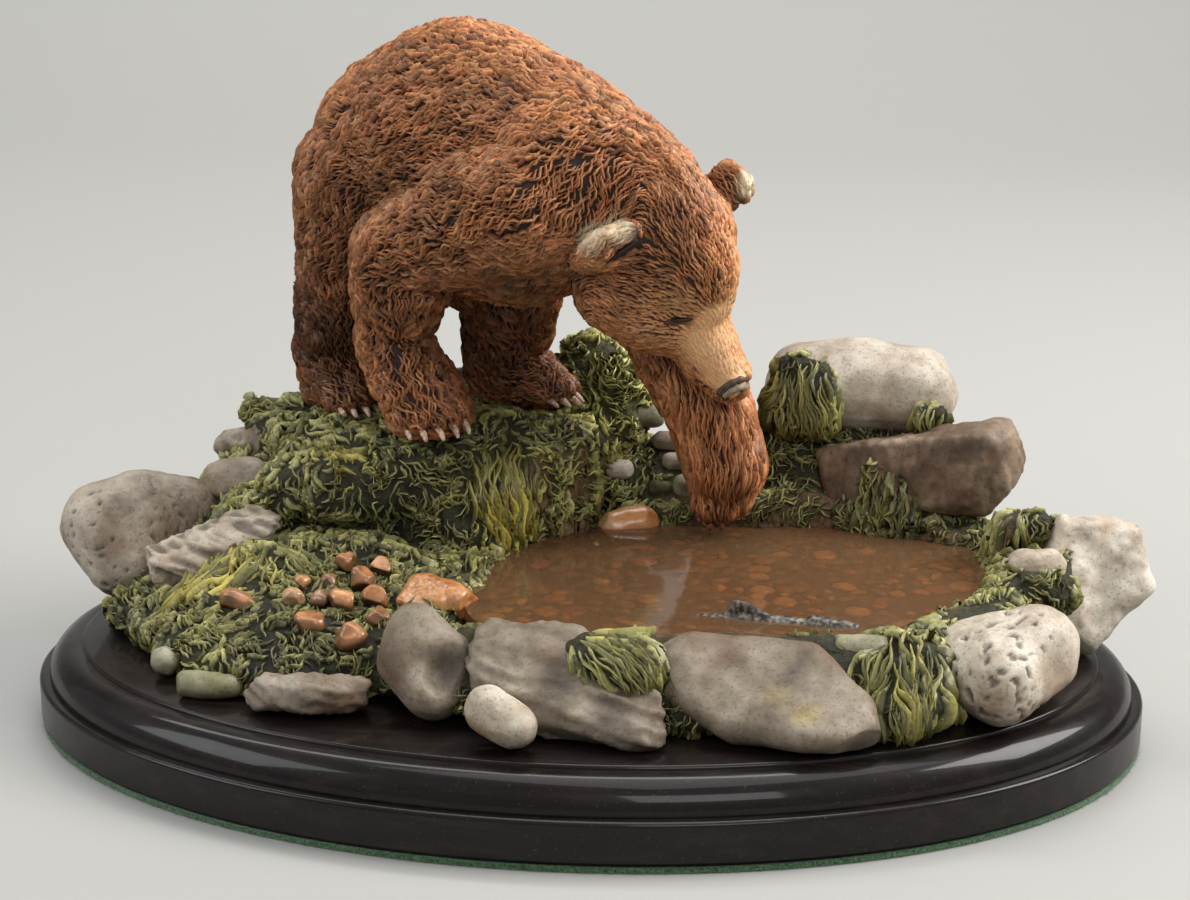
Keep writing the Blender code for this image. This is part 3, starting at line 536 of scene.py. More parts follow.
class Skin:
    """A surface that strands can be laid on."""

    def __init__(self, things):
        points = []
        faces = []
        start = 0
        for thing in things:
            mesh = thing.data
            own = points_of(mesh)
            points.append(own)
            faces.extend([start + index for index in face.vertices] for face in mesh.polygons)
            start += len(own)
        self.points = np.vstack(points)
        self.tree = BVHTree.FromPolygons([Vector(point) for point in self.points], faces)
        corners = [face[:3] for face in faces]
        corners.extend([face[0], face[2], face[3]] for face in faces if len(face) > 3)
        self.corners = np.array(corners)
        first, second, third = (self.points[self.corners[:, index]] for index in range(3))
        cross = np.cross(second - first, third - first)
        self.areas = np.linalg.norm(cross, axis=1) / 2
        self.facing = cross / np.maximum(np.linalg.norm(cross, axis=1, keepdims=True), 1e-12)

    def scatter(self, spacing, seed, keep=None):
        """Points spread evenly over the skin, at least a spacing apart."""
        source = np.random.default_rng(seed)
        wanted = int(self.areas.sum() / spacing ** 2 * 2.2)
        picked = source.choice(len(self.corners), size=wanted, p=self.areas / self.areas.sum())
        first, second, third = (self.points[self.corners[picked, index]] for index in range(3))
        along = source.random((wanted, 2))
        over = along.sum(axis=1) > 1
        along[over] = 1 - along[over]
        places = first + (second - first) * along[:, :1] + (third - first) * along[:, 1:]
        facing = self.facing[picked]
        if keep is not None:
            kept = keep(places, facing)
            places = places[kept]
            facing = facing[kept]
        steps = [(dx, dy, dz) for dx in (-1, 0, 1) for dy in (-1, 0, 1) for dz in (-1, 0, 1)]
        taken = {}
        chosen = []

        def close(index, other):
            gap = places[other] - places[index]
            return gap[0] * gap[0] + gap[1] * gap[1] + gap[2] * gap[2] < spacing * spacing

        for index, cell in enumerate(map(tuple, np.floor(places / spacing).astype(int))):
            if cell in taken:
                continue
            around = (taken.get((cell[0] + dx, cell[1] + dy, cell[2] + dz)) for dx, dy, dz in steps)
            if not any(close(index, other) for other in around if other is not None):
                taken[cell] = index
                chosen.append(index)
        return places[chosen], facing[chosen]

    def nearest(self, places):
        """The nearest spots on the skin, with the way it faces there."""
        spots = np.empty_like(places)
        facing = np.empty_like(places)
        for index, place in enumerate(places):
            spot, normal, _, _ = self.tree.find_nearest(Vector(place))
            spots[index] = spot
            facing[index] = normal
        return spots, facing


def varied(source, count, limits):
    """Random sizes: the least, and a random share of what the largest has more."""
    least, more = limits
    return least + more * source.random(count)


def unit(vectors):
    """Vectors scaled to length one."""
    return vectors / np.maximum(np.linalg.norm(vectors, axis=1, keepdims=True), 1e-9)


def along_skin(directions, facing):
    """Directions with the part that leaves the skin taken out."""
    flat = directions - facing * (directions * facing).sum(axis=1, keepdims=True)
    return unit(flat)


def flow_from(anchors):
    """A function that gives the coat's direction at any place."""
    places = np.array([place for place, _ in anchors], dtype=float) * MM
    ways = unit(np.array([way for _, way in anchors], dtype=float))

    def flow(spots):
        gaps = spots[:, None, :] - places[None, :, :]
        near = 1.0 / ((gaps ** 2).sum(axis=2) + 0.005 ** 2) ** 2
        return unit(near @ ways)

    return flow


def lay_strands(skin, places, facing, flow, length, width, height, sway, phase, steps, lift):
    """Trace a wavy strand from every place; its points by strand, row and left, crest or right."""
    spots = places.copy()
    normals = facing.copy()
    rings = []
    for step in range(steps + 1):
        share = step / steps
        way = along_skin(flow(spots), normals)
        side = np.cross(normals, way)
        taper = np.sin(np.pi * (0.07 + 0.88 * share)) ** 0.75
        half = (width * taper)[:, None] / 2
        rise = (height * (np.sin(np.pi * (0.1 + 0.82 * share ** 0.85)) ** 0.6 + lift * share))[:, None]
        low = normals * STRAND_SINK * height[:, None]
        rings.append((spots + side * half - low, spots + normals * rise, spots - side * half - low))
        if step < steps:
            turn = sway * np.cos(2 * np.pi * (share * 1.15 + phase))
            ahead = unit(way + side * turn[:, None])
            spots = spots + ahead * (length / steps)[:, None]
            spots, normals_new = skin.nearest(spots)
            normals = unit(normals * 0.35 + normals_new * 0.65)
    return np.stack([np.stack(ring, axis=1) for ring in rings], axis=1)


def strand_quads(count, rows, columns):
    """The faces between neighbouring points of every strand."""
    start = np.arange(count)[:, None, None] * rows * columns
    row = np.arange(rows - 1)[None, :, None] * columns
    column = np.arange(columns - 1)[None, None, :]
    base = start + row + column
    return np.stack([base, base + 1, base + columns + 1, base + columns], axis=-1).reshape(-1, 4)


def strand_objects(names, places, points, colours, material):
    """Objects from strands and the colours of their points, shared out from left to right."""
    pieces = []
    for name, chosen in zip(names, np.array_split(np.argsort(places[:, 0]), len(names))):
        count, rows, columns, _ = points[chosen].shape
        quads = strand_quads(count, rows, columns)
        pieces.append(array_mesh(name, points[chosen].reshape(-1, 3), quads, material,
                                 colours[chosen].reshape(-1, 3)))
    return pieces


def new_material(name, colour, roughness, coat=0.0, coat_roughness=0.1):
    """A Principled material and its node tree."""
    made = bpy.data.materials.new(name)
    made.use_nodes = True
    shader = made.node_tree.nodes["Principled BSDF"]
    shader.inputs["Base Color"].default_value = (*colour, 1.0)
    shader.inputs["Roughness"].default_value = roughness
    shader.inputs["Coat Weight"].default_value = coat
    shader.inputs["Coat Roughness"].default_value = coat_roughness
    return made, made.node_tree, shader


def noise_node(tree, scale, detail=4.0, roughness=0.55):
    """A noise texture in the object's own metres."""
    place = tree.nodes.new("ShaderNodeTexCoord")
    texture = tree.nodes.new("ShaderNodeTexNoise")
    texture.inputs["Scale"].default_value = scale
    texture.inputs["Detail"].default_value = detail
    texture.inputs["Roughness"].default_value = roughness
    tree.links.new(place.outputs["Object"], texture.inputs["Vector"])
    return texture


def ramp_node(tree, source, stops):
    """A colour ramp over a source value."""
    ramp = tree.nodes.new("ShaderNodeValToRGB")
    while len(ramp.color_ramp.elements) < len(stops):
        ramp.color_ramp.elements.new(0.5)
    for element, (place, colour) in zip(ramp.color_ramp.elements, stops):
        element.position = place
        element.color = (*colour, 1.0)
    tree.links.new(source, ramp.inputs["Fac"])
    return ramp


def mix_node(tree, first, second, amount, blend="MIX"):
    """Mix two colours; amount is a number or a socket."""
    mix = tree.nodes.new("ShaderNodeMix")
    mix.data_type = "RGBA"
    mix.blend_type = blend
    for socket, value in ((mix.inputs[6], first), (mix.inputs[7], second), (mix.inputs[0], amount)):
        if isinstance(value, bpy.types.NodeSocket):
            tree.links.new(value, socket)
        elif isinstance(value, tuple):
            socket.default_value = (*value, 1.0)
        else:
            socket.default_value = value
    return mix.outputs[2]


def bump_node(tree, shader, height, strength, distance, before=None):
    """Fine relief from a height source."""
    bump = tree.nodes.new("ShaderNodeBump")
    bump.inputs["Strength"].default_value = strength
    bump.inputs["Distance"].default_value = distance
    tree.links.new(height, bump.inputs["Height"])
    if before is not None:
        tree.links.new(before.outputs["Normal"], bump.inputs["Normal"])
    tree.links.new(bump.outputs["Normal"], shader.inputs["Normal"])
    return bump


def mottled_material(name, stops, scale, detail, roughness, strength, coat=0.0, depth=0.0002):
    """Paint whose tones follow a fine noise, with relief from the same noise."""
    made, tree, shader = new_material(name, stops[len(stops) // 2][1], roughness, coat)
    grain = noise_node(tree, scale, detail)
    ramp = ramp_node(tree, grain.outputs["Fac"], stops)
    tree.links.new(ramp.outputs["Color"], shader.inputs["Base Color"])
    bump_node(tree, shader, grain.outputs["Fac"], strength, depth)
    return made


def painted_colour(tree):
    """The colour stored on the mesh's points."""
    stored = tree.nodes.new("ShaderNodeAttribute")
    stored.attribute_name = "paint"
    return stored.outputs["Color"]


def painted_material(name, roughness, grain=1500.0, coat=0.0, spread=0.35, relief=0.25, depth=0.0002):
    """Hand-painted resin: the stored colour with uneven brushing and fine grain."""
    made, tree, shader = new_material(name, (0.5, 0.5, 0.5), roughness, coat=coat)
    fine = noise_node(tree, grain, 3.0)
    ramp = ramp_node(tree, fine.outputs["Fac"], [(0.3, (1 - spread,) * 3), (0.7, (1.0, 1.0, 1.0))])
    colour = mix_node(tree, painted_colour(tree), ramp.outputs["Color"], 1.0, "MULTIPLY")
    tree.links.new(colour, shader.inputs["Base Color"])
    bump_node(tree, shader, fine.outputs["Fac"], relief, depth)
    return made


def stone_material(name, tones, roughness, coat):
    """Painted stone: patches of three tones, a wash in places, speckles and grain."""
    dark, middle, light, wash = tones
    made, tree, shader = new_material(name, middle, roughness, coat=coat)
    mottle = noise_node(tree, 90.0, 6.0, 0.62)
    ramp = ramp_node(tree, mottle.outputs["Fac"], [(0.3, dark), (0.47, middle), (0.68, light)])
    spread = noise_node(tree, 55.0, 3.0)
    amount = ramp_node(tree, spread.outputs["Fac"], [(0.5, (0, 0, 0)), (0.66, (0.8, 0.8, 0.8))])
    colour = mix_node(tree, ramp.outputs["Color"], wash, amount.outputs["Color"])
    specks = noise_node(tree, 1100.0, 2.0)
    freckles = ramp_node(tree, specks.outputs["Fac"], [(0.34, (0.45, 0.42, 0.4)), (0.44, (1, 1, 1))])
    colour = mix_node(tree, colour, freckles.outputs["Color"], 0.55, "MULTIPLY")
    colour = mix_node(tree, colour, painted_colour(tree), 1.0, "MULTIPLY")
    tree.links.new(colour, shader.inputs["Base Color"])
    broad = bump_node(tree, shader, noise_node(tree, 420.0, 5.0, 0.65).outputs["Fac"], 0.35, 0.0006)
    bump_node(tree, shader, specks.outputs["Fac"], 0.25, 0.0002, broad)
    return made


def paints(*rows):
    """Several colours as arrays."""
    return [np.array(paint(*row)) for row in rows]


MUZZLE_TAN, EAR_CREAM = paints((250, 198, 146), (240, 220, 184))
# The grooves, the middles and the crests: on the body, on the face and in the shade,
# how far the shade reaches them, and their share of the muzzle's tan and the ears' cream.
COAT_TONES = [
    (*paints((24, 12, 7), (70, 34, 16), (24, 14, 11)), 1.0, 0.55, 0.45),
    (*paints((98, 45, 20), (168, 102, 54), (62, 34, 22)), 0.85, 1.0, 0.85),
    (*paints((238, 164, 108), (244, 188, 132), (98, 45, 20)), 0.9, 1.15, 1.0),
]
MOSS_GROOVE, MOSS_MIDDLE, MOSS_CREST, MOSS_YELLOW = paints((32, 32, 15), (104, 102, 42), (212, 206, 124),
                                                           (226, 204, 76))


def near(points, place, reach):
    """A soft mask, 1 at a place in millimetres and 0 beyond its reach."""
    gap = np.linalg.norm(points - np.array(place) * MM, axis=1)
    share = np.clip(1 - gap / (reach * MM), 0, 1)
    return share * share * (3 - 2 * share)


def patches(points, table):
    """The strongest of several soft masks, each with a place, a reach and a strength."""
    return np.max([near(points, place, reach) * strength for place, reach, strength in table], axis=0)


def blend(first, second, amount):
    """Two colours mixed by an amount for each point."""
    return first * (1 - amount)[:, None] + second * amount[:, None]


def painted_light_and_shade(spots, table):
    """How much lighter or darker each place is painted, as painted light and shade."""
    share = np.ones(len(spots))
    for place, reach, amount in table:
        share += amount * near(spots, place, reach)
    return np.clip(share, 0.2, 3.5)


def head_share(spots):
    """1 on the head, where the locks are finer, and 0 away from it."""
    gap = np.linalg.norm(spots - np.array(HEAD_MIDDLE) * MM, axis=1)
    return np.clip((HEAD_REACH - gap) / HEAD_BLEND, 0, 1)


def muzzle_mask(spots):
    """Where the smooth pale muzzle lies."""
    return np.clip(patches(spots, MUZZLE_PATCHES) * 1.9, 0, 1) * (spots[:, 1] < 0.027)


def face_mask(spots):
    """Where the paler face lies."""
    return np.clip(patches(spots, FACE_PATCHES) * 1.8, 0, 1) * (spots[:, 1] < 0.034)


def ear_mask(spots):
    """Where the ears are painted cream."""
    return np.clip(patches(spots, EAR_PATCHES) * 2.6, 0, 1)


def coat_colours(spots, tone, lock_tint, open_air):
    """The coat's paint: dark grooves, rust locks and dry-brushed crests, paler on the face."""
    face = face_mask(spots)
    shade = np.clip(1.25 - open_air * 1.5, 0, 1)
    shade = np.maximum(shade, np.clip(near(spots, *BELLY_SHADE) * 1.5, 0, 1) * 0.75)
    shade = np.maximum(shade, near(spots, *HIND_SHADE) * 0.9) * (1 - face * 0.7)
    shade = shade * (1 - 0.7 * np.clip((spots[:, 0] - 0.012) / 0.01, 0, 1))
    muzzle = muzzle_mask(spots)
    cream = ear_mask(spots)
    layers = []
    for body, on_face, dim, depth, tan_share, cream_share in COAT_TONES:
        layer = blend(blend(body, on_face, face), dim, shade * depth)
        layer = blend(layer, MUZZLE_TAN * tan_share, muzzle)
        layers.append(blend(layer, EAR_CREAM * cream_share, cream))
    groove, middle, crest = layers
    colour = blend(groove, middle, np.clip(tone * 2, 0, 1))
    colour = blend(colour, crest, np.clip(tone * 2 - 1, 0, 1))
    # Painted light and shade by place, and painted shade in the furrows between the toes.
    light = painted_light_and_shade(spots, COAT_LIGHT_AND_SHADE) * (1 - 0.7 * toe_gaps(spots))
    colour = colour * lock_tint * light[:, None]
    return colour / np.maximum(colour.max(axis=1, keepdims=True) / 0.93, 1)


def openness(skin, places, facing, reach=0.045, rays=14):
    """The share of rays from each place that meet nothing nearby."""
    source = np.random.default_rng(77)
    spread = unit(source.normal(size=(rays, 3)))
    free = np.zeros(len(places))
    for index in range(len(places)):
        normal = facing[index]
        start = Vector(places[index] + normal * 0.0012)
        for ray in spread:
            if skin.tree.ray_cast(start, Vector(ray * 0.95 + normal), reach)[0] is None:
                free[index] += 1
    return free / rays


def toe_gaps(spots):
    """How deep each place lies in a furrow between two toes."""
    furrow = np.zeros(len(spots))
    for knuckles, way in TOES.values():
        back = np.array(way) / np.linalg.norm(way)
        for first, second in zip(knuckles, knuckles[1:]):
            middle = (np.array(first) + np.array(second)) / 2
            for step in (-1.5, 0.5, 2.5, 4.5):
                furrow = np.maximum(furrow, near(spots, middle - back * step, 2.9))
    return np.clip(furrow * 1.5, 0, 1)


def make_skin():
    """The bear's body under the carved locks."""
    dark = painted_material("coat_groove_paint", 0.62)
    groups = list(BEAR.values())
    for knuckles, way in TOES.values():
        back = Vector(way).normalized() * 3
        for knuckle in knuckles:
            groups.append([(*knuckle, TOE_RADIUS), (*(Vector(knuckle) - back), TOE_RADIUS)])
    skin = fused("bear_body", groups, BEAR_VOXEL, 4, dark)
    thinned(skin, BEAR_KEPT)
    spots = points_of(skin.data)
    calm = np.clip(np.maximum(face_mask(spots), ear_mask(spots)) + (spots[:, 2] < 0.084), 0, 1)
    tufts = 0.00035 * noise_at(spots, 0.0085, 51) + 0.00050 * noise_at(spots, 0.0042, 52)
    rise = tufts * (1 - 0.9 * calm) - 0.0008 * toe_gaps(spots)
    set_points(skin.data, spots + normals_of(skin.data) * rise[:, None])
    return skin


def paint_skin(body, skin):
    """The grooves' dark paint, and the muzzle's pale one."""
    spots = points_of(body.data)
    normals = normals_of(body.data)
    # Painted shade where the body is hemmed in by other parts.
    open_air = openness(skin, spots[::SHADE_STEP], normals[::SHADE_STEP], rays=8)
    open_air = np.repeat(open_air, SHADE_STEP)[:len(spots)]
    muzzle = muzzle_mask(spots)
    cream = ear_mask(spots)
    tone = 0.06 + 0.42 * np.maximum(muzzle, cream)
    set_colours(body.data, coat_colours(spots, tone, np.ones((len(spots), 1)), open_air))


def off_the_eye_and_ear_shade(points):
    """Which strands leave the near eye, the painted shade of the near ear and the nose free."""
    free = np.ones(len(points), dtype=bool)
    for (hint, along, sizes) in (EYES[0], EAR_SHADE_PIECES[0]):
        away = points - np.array(hint) * MM
        along = np.array(along) / np.linalg.norm(along)
        reach = away @ along
        across = away[..., 2] - reach * along[2]
        over = (np.abs(reach) < (sizes[0] + 0.2) * MM) & (np.abs(across) < sizes[1] * 1.3 * MM)
        free &= ~(over & (np.abs(away[..., 1]) < 0.006)).any(axis=(1, 2))
    for place in NOSE_SPOTS:
        free &= (np.linalg.norm(points - np.array(place) * MM, axis=-1) > NOSE_CLEARANCE).all(axis=(1, 2))
    return free


def make_coat(skin):
    """The carved locks, laid along the way the coat lies."""
    material = painted_material("coat_paint", 0.42, coat=0.08)
    material.node_tree.nodes["Principled BSDF"].inputs["Specular IOR Level"].default_value = 0.3

    def on_head(places, facing):
        off_the_nose = np.linalg.norm(places - np.array(NOSE_MIDDLE) * MM, axis=1) > NOSE_REACH
        return off_the_nose & (head_share(places) > 0.2)

    fine_places, fine_facing = skin.scatter(HEAD_SPACING, 12, on_head)
    broad_places, broad_facing = skin.scatter(COAT_SPACING, 11, lambda at, way: head_share(at) <= 0.2)
    places = np.vstack([fine_places, broad_places])
    facing = np.vstack([fine_facing, broad_facing])
    source = np.random.default_rng(5)
    count = len(places)
    muzzle = muzzle_mask(places)
    face = np.maximum(face_mask(places), muzzle)
    head = head_share(places)
    feet = np.clip((0.090 - places[:, 2]) / 0.012, 0, 1) * (places[:, 0] < 0.0)
    forearm = (places[:, 0] > 0.020) & (places[:, 1] > 0.024) & (places[:, 2] < 0.097)
    size = 1 - 0.36 * head - 0.10 * face - 0.12 * muzzle
    length = varied(source, count, LOCK_LENGTH) * size * (1 + 0.3 * forearm)
    width = varied(source, count, LOCK_WIDTH) * (1 - 0.2 * head - 0.1 * muzzle)
    height = varied(source, count, LOCK_HEIGHT) * size * (1 - 0.2 * feet) * (1 - 0.6 * muzzle)
    sway = varied(source, count, LOCK_SWAY) * (1 - 0.45 * head) * (1 - 0.5 * muzzle)
    sway = sway * (1 - 0.65 * forearm)
    phase = noise_at(places, 0.009, 3) * 0.9 + 0.16 * source.random(count)
    calm = (1 - 0.5 * head - 0.3 * face) * (1 - 0.7 * forearm)
    lift = 0.45 - 0.30 * head
    flow = flow_from(COAT_FLOW)

    def uneven(spots):
        """The coat's direction, ruffled into tufts."""
        ruffle = np.stack([noise_at(spots, 0.010, seed) for seed in (61, 62, 63)], axis=1)
        return unit(flow(spots) + ruffle * 0.45 * calm[:, None])

    points = lay_strands(skin, places, facing, uneven, length, width, height, sway, phase, 5, lift)
    clear = off_the_eye_and_ear_shade(points)
    points = points[clear]
    places = places[clear]
    facing = facing[clear]
    muzzle = muzzle[clear]
    count, rows = points.shape[:2]
    tone = np.zeros((count, rows, 3))
    crest = 0.50 + 0.32 * source.random(count)
    tone[:, :, 1] = crest[:, None] + 0.16 * np.sin(np.pi * np.linspace(0.0, 0.85, rows))[None, :]
    tone[:, :, 1] += 0.25 * muzzle[:, None]
    tone = tone + 0.5 * muzzle[:, None, None] * (tone < 0.3)
    lock = 0.72 + 0.56 * source.random(count) + 0.20 * noise_at(places, 0.02, 9)
    warmth = source.random(count)[:, None]
    hue = np.array([1.08, 0.94, 0.92]) * (1 - warmth) + np.array([0.96, 1.08, 1.06]) * warmth
    tint = np.repeat(lock[:, None] * hue, rows * 3, axis=0)
    # Painted shade where the locks are hemmed in by other parts.
    open_air = np.repeat(openness(skin, places, facing), rows * 3)
    colours = coat_colours(points.reshape(-1, 3), tone.reshape(-1), tint, open_air).reshape(points.shape)
    names = ("bear_coat_rear", "bear_coat_middle", "bear_coat_front")
    return strand_objects(names, places, points, colours, material)


def close_rings(bm, rings):
    """Faces between neighbouring rings of points, and over both ends."""
    for lower, upper in zip(rings, rings[1:]):
        for step in range(len(lower)):
            after = (step + 1) % len(lower)
            bm.faces.new((lower[step], lower[after], upper[after], upper[step]))
    bm.faces.new(rings[-1])
    bm.faces.new(list(reversed(rings[0])))


def tapered_tube(bm, path, radii):
    """A closed round tube through points, with a radius at each."""
    rings = []
    for index, (place, radius) in enumerate(zip(path, radii)):
        before = path[max(index - 1, 0)]
        after = path[min(index + 1, len(path) - 1)]
        way = (after - before).normalized()
        side = way.orthogonal().normalized()
        other = way.cross(side)
        ring = []
        for step in range(CLAW_SIDES):
            turn = 2 * math.pi * step / CLAW_SIDES
            ring.append(bm.verts.new(place + (side * math.cos(turn) + other * math.sin(turn)) * radius))
        rings.append(ring)
    close_rings(bm, rings)


def horn_paint(name, dark, middle, light):
    """Streaky horn."""
    stops = [(0.35, paint(*dark)), (0.55, paint(*middle)), (0.8, paint(*light))]
    return mottled_material(name, stops, 900.0, 3.0, 0.4, 0.2, 0.15)


def claws_on(name, toes, reach, thickness, material):
    """Curved claws, one on every toe of the paws named."""
    bm = bmesh.new()
    for paw in toes:
        knuckles, way = TOES[paw]
        point = Vector(way).normalized()
        bend = Vector((point.x, point.y, 0)) * 0.35
        for knuckle in knuckles:
            root = Vector(knuckle) * MM + point * TOE_RADIUS * 0.5 * MM
            path = []
            for step in range(5):
                share = step / 4
                path.append(root + point * reach * share * MM + bend * math.sin(math.pi * share) * 1.6 * MM)
            radii = [thickness * MM * (1 - 0.62 * (step / 4) ** 1.4) for step in range(5)]
            tapered_tube(bm, path, radii)
    return mesh_object(name, bm, material)


def make_claws():
    """Pale claws on the standing paws and short red-brown ones on the reaching paw."""
    horn = horn_paint("claw_horn", (150, 108, 86), (208, 182, 158), (232, 214, 194))
    rust = horn_paint("rust_claw", (70, 36, 24), (122, 70, 46), (168, 112, 82))
    return [claws_on("bear_claws", ("right hind", "right fore", "left hind"), CLAW_LENGTH, 1.2, horn),
            claws_on("bear_reaching_claws", ("left fore",), CLAW_LENGTH * 0.9, 1.5, rust)]


def ellipsoid(bm, centre, half_sizes, along, facing):
    """An ellipsoid with its first size along a direction and its third along the facing."""
    first = Vector(along).normalized()
    third = (Vector(facing) - first * Vector(facing).dot(first)).normalized()
    second = third.cross(first)
    turn = Matrix((first, second, third)).transposed().to_4x4()
    scale = Matrix.Diagonal((*(size * MM for size in half_sizes), 1.0))
    place = Matrix.Translation(Vector(centre)) @ turn @ scale
    bmesh.ops.create_icosphere(bm, subdivisions=BALL_DETAIL, radius=1.0, matrix=place)


def make_face(skin):
    """The eyes, the nose pad, its painted highlight band and the dark piece of painted shade at the near ear.
    """
    # Dark paint for the eyes and for the painted shade of the near ear.
    dark, _, _ = new_material("eye_paint_and_ear_shade", paint(30, 17, 11), 0.5, coat=0.1)
    pad = mottled_material("nose_pad", [(0.35, paint(48, 34, 28)), (0.7, paint(96, 74, 58))],
                           1400.0, 3.0, 0.45, 0.4, 0.15)
    pale = paint(158, 146, 122)
    # Pale paint for the nose pad's painted highlight band.
    nose_highlight_paint = mottled_material("nose_highlight_paint", [(0.35, tuple(value * 0.55 for value in pale)), (0.65, pale)],
                                 1200.0, 3.0, 0.5, 0.3, 0.1)
    pieces = []
    # The eyes, and the dark piece of painted shade at the near ear.
    for name, dark_pieces, lift in (("bear_eyes", EYES, 0.0002), ("bear_ear_shade", EAR_SHADE_PIECES, 0.0007)):
        bm = bmesh.new()
        for hint, along, half_sizes in dark_pieces:
            spots, facing = skin.nearest(np.array([hint]) * MM)
            ellipsoid(bm, spots[0] + facing[0] * lift, half_sizes, along, facing[0])
        pieces.append(mesh_object(name, bm, dark))
    pieces.append(fused("bear_nose", NOSE_PAD, NOSE_VOXEL, 2, pad))
    pieces.append(fused("bear_nose_highlight", NOSE_HIGHLIGHT_BAND, NOSE_VOXEL, 2, nose_highlight_paint))
    return pieces


def cut_flats(spots, kind, source):
    """Worn flats that make a stone less round."""
    count, depth = FLATS[kind]
    middle = spots.mean(axis=0)
    ways = unit(source.normal(size=(count, 3)) * np.array([1.0, 1.0, 0.7]))
    for way in ways:
        reach = (spots - middle) @ way
        limit = reach.max() * (1 - depth * source.uniform(0.6, 1.8))
        over = np.clip(reach - limit, 0, None)
        spots = spots - way * (over * 0.88)[:, None]
    return spots


def stone_relief(kind, spots, seed):
    """How far the surface rises at each point, and how dark its hollows are."""
    rise = 0.00070 * noise_at(spots, 0.013, seed) + 0.00016 * noise_at(spots, 0.003, seed + 1)
    dark = np.clip(-noise_at(spots, 0.013, seed), 0, 1) * 0.35
    if kind in ("striped", "ridged"):
        tall, length, deep = (0.00055, 0.0020, 0.8) if kind == "striped" else (0.00060, 0.0036, 0.35)
        rise = rise + 0.00030 * noise_at(spots, 0.0018, seed + 4)
        axes = np.array([[0.95, 0.10, -0.30], [0.05, 0.98, -0.15], [0.31, 0.12, 0.94]])
        grooves = (spots @ axes.T) * np.array([0.14, 0.45, 1.0])
        lines = noise_at(grooves, length, seed + 2)
        rise = rise + tall * (1 - np.abs(lines) * 2.2)
        dark = np.maximum(dark, np.clip(np.abs(lines) * 2.4 - 0.45, 0, 1) * deep)
    elif kind in ("rough", "worn"):
        share = 1.0 if kind == "rough" else 0.45
        crags = noise_at(spots, 0.0075, seed + 2)
        fine = noise_at(spots, 0.0026, seed + 3)
        rise = rise + share * (0.0012 * crags + 0.00040 * fine)
        dark = np.maximum(dark, np.clip(-fine * 1.3, 0, 1) * 0.6 * share)
    elif kind == "speckled":
        rise = rise * 0.5
    elif kind == "slab":
        crags = noise_at(spots * np.array([1.0, 1.0, 0.3]), 0.0042, seed + 2)
        rise = rise * 0.6 + 0.0005 * np.abs(crags) + 0.0002 * noise_at(spots, 0.0018, seed + 3)
        dark = np.maximum(dark, np.clip(0.3 - np.abs(crags), 0, 1) * 1.3)
    elif kind in ("pitted", "cracked"):
        pits = noise_at(spots, 0.0021 if kind == "pitted" else 0.0017, seed + 2)
        open_pits = np.clip((pits - (0.44 if kind == "pitted" else 0.66)) * 6, 0, 1)
        open_pits = open_pits * (noise_at(spots, 0.02, seed + 4) > -0.25)
        rise = rise - 0.0008 * open_pits
        dark = np.maximum(dark, open_pits * 0.85)
        if kind == "cracked":
            crack = np.abs(noise_at(spots * np.array([0.35, 1, 1]), 0.008, seed + 5))
            crack = np.clip(1 - crack * 26, 0, 1) * np.clip((spots[:, 0] + 0.130) / 0.010, 0, 1)
            rise = rise - 0.0006 * crack
            dark = np.maximum(dark, crack * 0.8)
    return rise, dark


def make_stones():
    """Every stone of the landscape, with its own surface and paint."""
    materials = {}
    for tint, tones in STONE_TINTS.items():
        glossy = tint == "orange"
        materials[tint] = stone_material("stone_" + tint, [paint(*tone) for tone in tones],
                                         0.28 if glossy else 0.62, 0.5 if glossy else 0.05)
    pieces = []
    for seed, (name, (balls, kind, tint)) in enumerate(STONES.items()):
        span = max(np.ptp([ball[axis] for ball in balls]) + 2 * balls[0][3] for axis in (0, 1, 2))
        voxel = min(max(span / STONE_CELLS, FINEST_STONE), COARSEST_STONE) * MM
        stone = fused(name, [balls], voxel, 2, materials[tint])
        spots = cut_flats(points_of(stone.data), kind, np.random.default_rng(seed + 100))
        for centre, reach, push in DENTS.get(name, []):
            spots = spots + np.array(push) * MM * near(spots, centre, reach)[:, None]
        set_points(stone.data, spots)
        rise, dark = stone_relief(kind, spots, seed * 3 + 1)
        moved = spots + normals_of(stone.data) * rise[:, None]
        moved[:, 2] = np.maximum(moved[:, 2], GROUND_BOTTOM)
        set_points(stone.data, moved)
        # Painted shade in the stone's hollows.
        if name in PAINTED_HOLLOW_SHADE:
            dark = np.maximum(dark, patches(moved, PAINTED_HOLLOW_SHADE[name]))
        # Painted shade: darker near the bottom and on the undersides.
        foot = np.clip((0.031 - moved[:, 2]) / 0.008, 0, 1) * 0.55
        under = np.clip(-normals_of(stone.data)[:, 2], 0, 1) * 0.45
        shade = np.clip(1 - dark * 0.8, 0.08, 1) * (1 - foot) * (1 - under)
        warm = (1 - shade)[:, None] * np.array([0.0, 0.06, 0.16])
        colour = shade[:, None] * (1 - warm)
        # Stains, and the painted light on the back slab's right end.
        for spread, change in STAINS_AND_PAINTED_LIGHT.get(name, []):
            colour = colour * (1 + patches(moved, spread)[:, None] * np.array(change))
        set_colours(stone.data, colour)
        pieces.append(stone)
    return pieces


